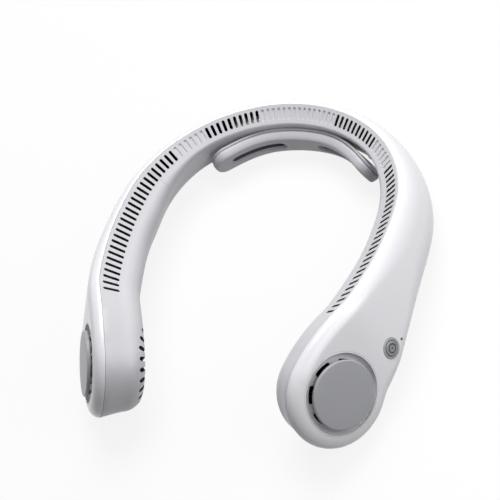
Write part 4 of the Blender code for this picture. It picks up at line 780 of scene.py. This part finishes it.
def rubbed(name, low, high, roughness, size, depth, across=1.0):
    """Bare metal: fine rubbed lines that run across or along the piece, with soft stains."""
    spot, wire = finish(name, Metallic=1.0)
    lines = spot.stretched(1.0, across, across).noise(size, 4.0)
    stain = spot.noise(0.004, 3.0)
    rough = roughness * (0.8 + lines * 0.3 + stain * 0.1)
    return wire((lines * 0.6 + stain * 0.4).tint(low, high), rough, lines, depth)


plated_steel = rubbed("plated_steel", (0.50, 0.50, 0.50), (0.62, 0.62, 0.61), 0.28, 0.00015, 0.000002, 0.2)
ground_steel = rubbed("ground_steel", (0.55, 0.55, 0.56), (0.68, 0.68, 0.69), 0.18, 0.00008, 0.000001, 0.1)
bronze = rubbed("sintered_bronze", (0.36, 0.21, 0.10), (0.52, 0.34, 0.18), 0.42, 0.0001, 0.000006)
stacked_steel = rubbed("stacked_plates", (0.38, 0.38, 0.39), (0.52, 0.52, 0.53), 0.40, 0.00035, 0.00002,
                       0.05)
magnet_black = moulding("bonded_magnet", (0.028, 0.028, 0.030), (0.060, 0.058, 0.058), 0.58, 0.0002, 0.000008)
smoke_nylon = moulding("smoke_nylon", (0.022, 0.023, 0.026), (0.034, 0.035, 0.039), 0.38, 0.0004, 0.000004)

spot, wire = finish("enamelled_copper", Metallic=0.9, Coat_Weight=0.5)
turns = spot.node("ShaderNodeTexWave", {"bands_direction": "DIAGONAL"},
                  {"Vector": spot, "Scale": 900.0, "Distortion": 1.5, "Detail": 1.0}, "Fac")
copper = wire(turns.tint((0.42, 0.15, 0.06), (0.78, 0.38, 0.18)), 0.26 + turns * 0.12, turns, 0.00006)

for side in ("right", "left"):
    dress(nylon_dark, f"{side}_motor_base", f"{side}_blower_scroll")
    dress(bronze, f"{side}_bearing")
    dress(ground_steel, f"{side}_motor_shaft")
    dress(plated_steel, f"{side}_rotor_can")
    dress(magnet_black, f"{side}_rotor_magnet")
    dress(stacked_steel, f"{side}_stator_core")
    dress(copper, f"{side}_stator_winding")
    dress(smoke_nylon, f"{side}_impeller")


# All twelve screws are small pan heads of plated steel with a cross recess and a rolled thread: three
# for each motor plate, four through the nape cover and two for the board.
SCREW_HEAD, HEAD_RADIUS, THREAD_RADIUS, THREAD_CORE, THREAD_PITCH = 0.0011, 0.0018, 0.0009, 0.00074, 0.0004
RECESS_LENGTH, RECESS_WIDTH, RECESS_FLOOR = 0.0017, 0.00036, 0.00045
MOTOR_SCREW_LENGTH, NAPE_SCREW_LENGTH, BOARD_SCREW_LENGTH = 0.0035, 0.0065, 0.0045
BOARD_POSTS = (0.0045, -0.0078), (-0.0130, -0.0078)


def screw(node, length, matrix):
    profile = [(0.0, SCREW_HEAD), (0.0012, SCREW_HEAD, 0.0008), (HEAD_RADIUS, 0.0007, 0.0004)]
    profile += [(HEAD_RADIUS, 0.0, 0.0001), (THREAD_RADIUS, 0.0)]
    depth = -THREAD_PITCH
    while depth > 0.0006 - length:
        profile += [(THREAD_RADIUS, depth), (THREAD_CORE, depth - 0.00015)]
        depth -= THREAD_PITCH
    profile += [(THREAD_RADIUS, depth), (0.0006, -length), (0.0, -length)]
    piece = lathe(f"{node}_turned", profile, matrix, 28)
    recess = bmesh.new()
    for turn in (0.0, pi / 2):
        blade, levels = plate(RECESS_LENGTH, RECESS_WIDTH, 0.0001), [(RECESS_FLOOR, -0.0001), (0.0014, 0.0)]
        add_drum(recess, blade, levels, matrix @ Matrix.Rotation(turn, 4, "Z"))
    cross = solid("cross", recess)
    cross.modifiers.new("join", "REMESH").voxel_size = 0.00006
    carve(piece, cross)
    fit(piece, plated_steel, "steel", node)


for index, (x, y) in enumerate(screw_places, 1):
    right = HOUSING @ Matrix.Translation((x, y, GUARD_TOP + CLEAR))
    flip, across = Matrix.Scale(-1, 4, (0, 1, 0)), Matrix.Scale(-1, 4, (1, 0, 0))
    screw(f"right_motor_screw_{index}", MOTOR_SCREW_LENGTH, right)
    screw(f"left_motor_screw_{index}", MOTOR_SCREW_LENGTH, across @ right @ flip)
turned_over = Matrix.Rotation(pi, 4, "X")
for index, screw_frame in enumerate(nape_screw_frames, 1):
    seat = Matrix.Translation((0, 0, NAPE_INNER - CLEAR)) @ turned_over
    screw(f"nape_screw_{index}", NAPE_SCREW_LENGTH, screw_frame @ seat)
for index, (x, y) in enumerate(BOARD_POSTS, 1):
    seat = Matrix.Translation((x, y, BOARD_UNDER - CLEAR)) @ turned_over
    screw(f"board_screw_{index}", BOARD_SCREW_LENGTH, BOARD @ seat)


# The power key is a round grey button trapped by its bezel ring, with an engraved ring and a centre
# dot, filled dark, on its face. It presses a sprung plunger 0.4 mm into the switch on the board.
BEZEL_TOP, BEZEL_DEPTH, BUTTON_RADIUS = FACE + 0.0003, 0.0030, 0.0045
BUTTON_PROUD, BUTTON_SKIRT, ENGRAVING = 0.0005, 0.0008, 0.0003
bezel_under = FACE - BEZEL_DEPTH
profile = [(BUTTON_RADIUS + CLEAR, BEZEL_TOP - 0.0001, 0.0002), (BUTTON_RADIUS + 0.0007, BEZEL_TOP, 0.0003)]
profile += [(BEZEL_RADIUS - 0.0004, BEZEL_TOP, 0.0003), (BEZEL_RADIUS, BEZEL_TOP - 0.0004, 0.0003)]
profile += [(BEZEL_RADIUS, bezel_under), (BUTTON_RADIUS + CLEAR, bezel_under)]
bezel = lathe("power_bezel_ring", profile, BUTTON, 96, loop=True)
bezel_grey = moulding("bezel_grey", (0.36, 0.365, 0.38), (0.39, 0.395, 0.41), 0.30, 0.0003, 0.000004)
fit(bezel, bezel_grey, "cap_grey", "power_bezel")

BUTTON_TOP = BEZEL_TOP + BUTTON_PROUD
engraved, skirt_top, skirt = BUTTON_TOP - ENGRAVING, bezel_under - CLEAR, BEZEL_RADIUS - CLEAR
profile = [(0.0, engraved), (0.00058, engraved), (0.0007, BUTTON_TOP - 0.00005, 0.0001)]
profile += [(0.0021, BUTTON_TOP - 0.00002, 0.0001), (0.00220, engraved), (0.00290, engraved)]
profile += [(0.0030, BUTTON_TOP - 0.00002, 0.0001), (BUTTON_RADIUS - 0.0005, BUTTON_TOP, 0.0006)]
profile += [(BUTTON_RADIUS, BUTTON_TOP - 0.0005, 0.0004), (BUTTON_RADIUS, skirt_top)]
profile += [(skirt, skirt_top), (skirt, skirt_top - BUTTON_SKIRT), (0.0, skirt_top - BUTTON_SKIRT)]
key = lathe("power_key_cap", profile, BUTTON, 96)
key_grey = moulding("key_grey", (0.25, 0.253, 0.266), (0.275, 0.278, 0.292), 0.36, 0.0003, 0.000004)
fit(key, key_grey, "cap_grey", "power_button", body="power_key")
filling = engraved + 0.0001
dot = [(0.0, filling), (0.00055, filling), (0.00055, engraved), (0.0, engraved)]
fit(lathe("power_key_dot", dot, BUTTON, 32), nylon_dark, "nylon_dark", body="power_key")
ring = [(0.00225, engraved), (0.00225, filling), (0.00285, filling), (0.00285, engraved)]
fit(lathe("power_key_ring", ring, BUTTON, 64, loop=True), nylon_dark, "nylon_dark", body="power_key")
nylon_white = moulding("white_nylon", (0.70, 0.70, 0.68), (0.76, 0.76, 0.74), 0.42, 0.0003, 0.000003)
dress(nylon_white, "switch_plunger")
dress(nylon_dark, "power_switch")


# The status lamp is a clear rod that carries light from the board to a small hole by the button. Unlit,
# its domed end looks smoky dark.
LAMP_SINK = 0.0012
lamp_smoke = moulding("smoked_lamp_rod", (0.055, 0.045, 0.045), (0.080, 0.065, 0.064), 0.10, 0.0006, 0.000001,
                      Coat_Weight=0.6)
lamp_top = FACE - LAMP_SINK
profile = [(0.0, lamp_top), (0.0005, lamp_top - 0.00006), (LAMP_RADIUS, lamp_top - 0.0003, 0.0003)]
profile += [(LAMP_RADIUS, BOARD_TOP + CLEAR), (0.0, BOARD_TOP + CLEAR)]
fit(lathe("status_lamp_rod", profile, LAMP, 40), lamp_smoke, "lamp_clear", "status_lamp")


# The main board and the cells' small board are green glass board with tinned pads, the traces just
# showing under the solder resist.
spot, wire = finish("solder_resist", Coat_Weight=0.4, Coat_Roughness=0.15)
traces = spot.node("ShaderNodeTexVoronoi", {"distance": "CHEBYCHEV", "feature": "F1"},
                   {"Vector": spot, "Scale": 420.0, "Randomness": 0.7}, "Distance")
weave = spot.noise(0.0004, 2.0)
greens = [(0.0, (0.004, 0.045, 0.022, 1)), (1.0, (0.012, 0.110, 0.050, 1))]
masked = spot.node("ShaderNodeValToRGB", {"stops": greens}, {"Fac": traces * 1.4 + weave * 0.15})
board_green = wire(masked, 0.34 + weave * 0.12, traces, 0.00003)
dress(board_green, "main_board", "battery_board")


# The battery is two foil pouch cells laid in a shallow dark tray behind the nape, and its leads and the
# two fan leads run in soft black and red sleeves.
spot, wire = finish("cell_foil", Metallic=0.75)
creases = spot.noise(0.003, 5.0, Distortion=1.2)
rolled = spot.stretched(1.0, 0.1, 1.0).noise(0.0003, 2.0)
silver = (creases * 0.5 + rolled * 0.5).tint((0.52, 0.53, 0.55), (0.68, 0.69, 0.71))
foil = wire(silver, 0.26 + creases * 0.2, creases, 0.00012)
dress(foil, "right_battery_cell", "left_battery_cell")
dress(nylon_dark, "battery_cradle")
sleeve_black = moulding("black_sleeve", (0.020, 0.020, 0.022), (0.035, 0.035, 0.038), 0.45, 0.0006, 0.000008,
                        Sheen_Weight=0.1)
sleeve_red = moulding("red_sleeve", (0.36, 0.020, 0.018), (0.44, 0.030, 0.026), 0.45, 0.0006, 0.000008,
                      Sheen_Weight=0.1)
dress(sleeve_black, "right_fan_wire", "left_fan_wire")
dress(sleeve_red, "battery_lead")


# The nape pad is a soft grey silicone pad moulded on a stiff base, which clips to the inner cover at its
# middle and stands off it at the ends. Two long recessed slots, each with an inner lip, let it flex.
PAD_HALF, PAD_HEIGHT, PAD_MIDDLE, PAD_THICKNESS = 0.0670, 0.0210, 0.0160, 0.0060
PAD_BASE, PAD_BULGE, PAD_ROUND, PAD_CROWN, BASE_INSET = 0.0016, 0.0012, 0.0020, 0.0006, 0.0004
PAD_FLARE, PAD_FLARE_START = 0.0036, 0.0200
SLOT_START, SLOT_END, SLOT_HEIGHT, SLOT_STEP = 0.0125, 0.0545, 0.0088, 0.0013
POCKET_DEPTH, POCKET_LIP, SLOT_DEPTH, SLOT_LIP, LIP_STEPS = 0.0016, 0.0009, 0.0048, 0.0005, 8


def pad_seat(s):
    return NAPE_INNER - CLEAR - PAD_FLARE * ease(abs(s), PAD_FLARE_START, PAD_HALF)


def oval_lines(start, end, height, count=26):
    """Half lines round a long oval on the neck side, from its edge to its middle line."""
    radius = height / 2
    low, high = start + radius, end - radius
    across, turns = spaced(low, high, 0.0022), [pi * k / count for k in range(1, count)]
    lines = [HalfLine((s, PAD_MIDDLE - radius), (s, PAD_MIDDLE), s, 0.0) for s in across]
    for turn in turns:
        edge = (high + radius * sin(turn), PAD_MIDDLE - radius * cos(turn))
        lines.append(HalfLine(edge, (high, PAD_MIDDLE), edge[0], 0.5))
    lines += [HalfLine((s, PAD_MIDDLE + radius), (s, PAD_MIDDLE), s, 1.0) for s in reversed(across)]
    for turn in turns:
        edge = (low - radius * sin(turn), PAD_MIDDLE + radius * cos(turn))
        lines.append(HalfLine(edge, (low, PAD_MIDDLE), edge[0], 0.5))
    return lines


def seat_along(line, distance):
    """Seat height under a point of the pad, which follows the stand-off at its own place."""
    return pad_seat(between(line.edge[0], line.core[0], distance / line.reach))


def base_rows(line):
    rows = [(line.reach, -PAD_BASE), (0.0005, -PAD_BASE), (0.0001, -PAD_BASE + 0.0002)]
    rows += [(0.0, -PAD_BASE + 0.0005), (0.0, -0.0004), (0.0003, 0.0), (line.reach, 0.0)]
    return [(distance, seat_along(line, distance) + lift) for distance, lift in rows]


def pad_rows(line):
    """Profile of the soft pad: its back, a waist, the bulged side and the crowned face."""
    rows = [(line.reach, 0.0), (0.0010, 0.0), (0.0006, -0.0001), (0.0004, -0.0004)]
    for index in range(13):
        turn = pi / 2 * index / 12
        rows.append((PAD_ROUND * (1 - cos(turn)), between(-PAD_BULGE, -PAD_THICKNESS, sin(turn))))
    for share in (0.25, 0.5, 0.75, 1.0):
        rise = PAD_CROWN * (1 - (1 - share) ** 2)
        rows.append((between(PAD_ROUND, line.reach, share), -PAD_THICKNESS - rise))
    back = -PAD_BASE - CLEAR
    return [(distance, seat_along(line, distance) + back + lift) for distance, lift in rows]


def pad_slot(inset, depth, soft, shown):
    """A long oval cutter whose mouth flares with a soft radius where it meets the face. Faces past the rows
    that are shown take a dark painted shade.
    """
    def rows(line):
        face = -PAD_BASE - CLEAR - PAD_THICKNESS - PAD_CROWN * 0.75
        shape = [(line.reach, -0.004), (-soft, -0.004)]
        for index in range(LIP_STEPS + 1):
            turn = pi / 2 * index / LIP_STEPS
            shape.append((-soft * (1 - sin(turn)), soft * (1 - cos(turn))))
        shape += [(0.0, depth), (line.reach, depth)]
        return [(distance, seat_along(line, distance) + face + lift) for distance, lift in shape]

    bm = bmesh.new()
    oval = oval_lines(SLOT_START + inset, SLOT_END - inset, SLOT_HEIGHT - 2 * inset)
    skin(bm, oval, rows, loop=True, shown=shown)
    return solid("pad_slot", bm, silicone, pad_painted_shade)


bm = bmesh.new()
base_oval = oval_lines(-PAD_HALF + BASE_INSET, PAD_HALF - BASE_INSET, PAD_HEIGHT - 2 * BASE_INSET)
skin(bm, base_oval, base_rows, loop=True)
pad_base = solid("pad_base_moulding", bm)
pad_grey = moulding("pad_base_grey", (0.52, 0.52, 0.545), (0.56, 0.56, 0.585), 0.38, 0.0004, 0.000005)
fit(pad_base, pad_grey, "pad_base_grey", "pad_base")

silicone = moulding("soft_silicone", (0.50, 0.50, 0.53), (0.55, 0.55, 0.58), 0.44, 0.0005, 0.000008,
                    Sheen_Weight=0.25)
# Deep in the pad's slots the silicone is painted dark grey as shade.
pad_painted_shade = moulding("painted_shade_silicone", (0.10, 0.10, 0.108), (0.13, 0.13, 0.14), 0.60, 0.0005, 0.000008)
bm = bmesh.new()
skin(bm, oval_lines(-PAD_HALF, PAD_HALF, PAD_HEIGHT), pad_rows, loop=True)
pad = solid("nape_pad_moulding", bm, silicone, pad_painted_shade)
wide_pocket = (0.0, POCKET_DEPTH, POCKET_LIP, inf)
deep_slot = (SLOT_STEP, SLOT_DEPTH, SLOT_LIP, LIP_STEPS + 1)
for side in (1, -1):
    for cut in (wide_pocket, deep_slot):
        cutter = pad_slot(*cut)
        if side < 0:
            cutter.data.transform(Matrix.Scale(-1, 4, (1, 0, 0)))
            cutter.data.flip_normals()
        carve(pad, cutter)
fit(pad, silicone, "pad_soft", "nape_pad")


# The floor and the light: a plain pale table that keeps a soft shadow, a large lamp high behind the
# band, a small one close on the right and a weak one on the left. Gloss and the camera see white.
FLOOR_WIDTH, FLOOR_CORNER, FLOOR_TOP, FLOOR_UNDER = 6.0, 1.0, -0.0002, -0.02


def backdrop_light(tree):
    rays = Signal(tree.nodes.new("ShaderNodeLightPath").outputs["Is Camera Ray"])
    seen = rays
    for name in ("Is Glossy Ray", "Is Transmission Ray"):
        seen = seen.sum_of("MAXIMUM", seen, Signal(rays.socket.node.outputs[name]))
    return rays, seen


table_top = plate(FLOOR_WIDTH, FLOOR_WIDTH, FLOOR_CORNER)
floor = drum("floor", table_top, [(FLOOR_UNDER, 0.0), (FLOOR_TOP, 0.0)], Matrix())
floor_paint = bpy.data.materials.new("pale_floor")
floor_paint.use_nodes = True
tree = floor_paint.node_tree
rays, seen = backdrop_light(tree)
shader = tree.nodes["Principled BSDF"]
mottle = Signal(tree.nodes.new("ShaderNodeTexCoord").outputs["Object"]).noise(0.3, 3.0)
tree.links.new(mottle.tint((0.15, 0.15, 0.155), (0.18, 0.18, 0.185)).socket, shader.inputs["Base Color"])
shader.inputs["Roughness"].default_value = 0.7
pale = rays.node("ShaderNodeBsdfDiffuse", {}, {"Color": (0.86, 0.86, 0.87, 1.0)})
glow = rays.node("ShaderNodeEmission", {}, {"Color": (1.0, 1.0, 1.0, 1.0), "Strength": 1.0})
lit = rays.node("ShaderNodeMixShader", {}, {0: 0.86, 1: pale, 2: glow})
shown = rays.node("ShaderNodeMixShader", {}, {0: seen, 1: Signal(shader.outputs[0]), 2: lit})
tree.links.new(shown.socket, tree.nodes["Material Output"].inputs["Surface"])
floor.data.materials.append(floor_paint)

world = bpy.data.worlds.new("surround")
bpy.context.scene.world = world
world.use_nodes = True
tree = world.node_tree
rays, seen = backdrop_light(tree)
sky = tree.nodes["Background"]
tree.links.new(seen.tint((0.14, 0.14, 0.148), (1.0, 1.0, 1.0)).socket, sky.inputs["Color"])


def lamp(name, towards, distance, wide, power):
    """A square soft lamp that shines at the middle of the band."""
    made = bpy.data.objects.new(name, bpy.data.lights.new(name, "AREA"))
    bpy.context.scene.collection.objects.link(made)
    made.data.size, made.data.energy = wide, power
    middle_of_band = Vector((0.0, -0.11, 0.03))
    made.location = middle_of_band + Vector(towards).normalized() * distance
    made.rotation_euler = (made.location - middle_of_band).to_track_quat("Z", "Y").to_euler()


lamp("top_lamp", (-0.05, 0.55, 0.9), 1.3, 0.9, 17.5)
lamp("right_lamp", (0.85, -0.08, 0.62), 0.48, 0.35, 0.88)
lamp("left_lamp", (-0.9, 0.2, 0.35), 1.4, 0.8, 1.4)
bpy.context.scene.view_settings.view_transform = "Standard"
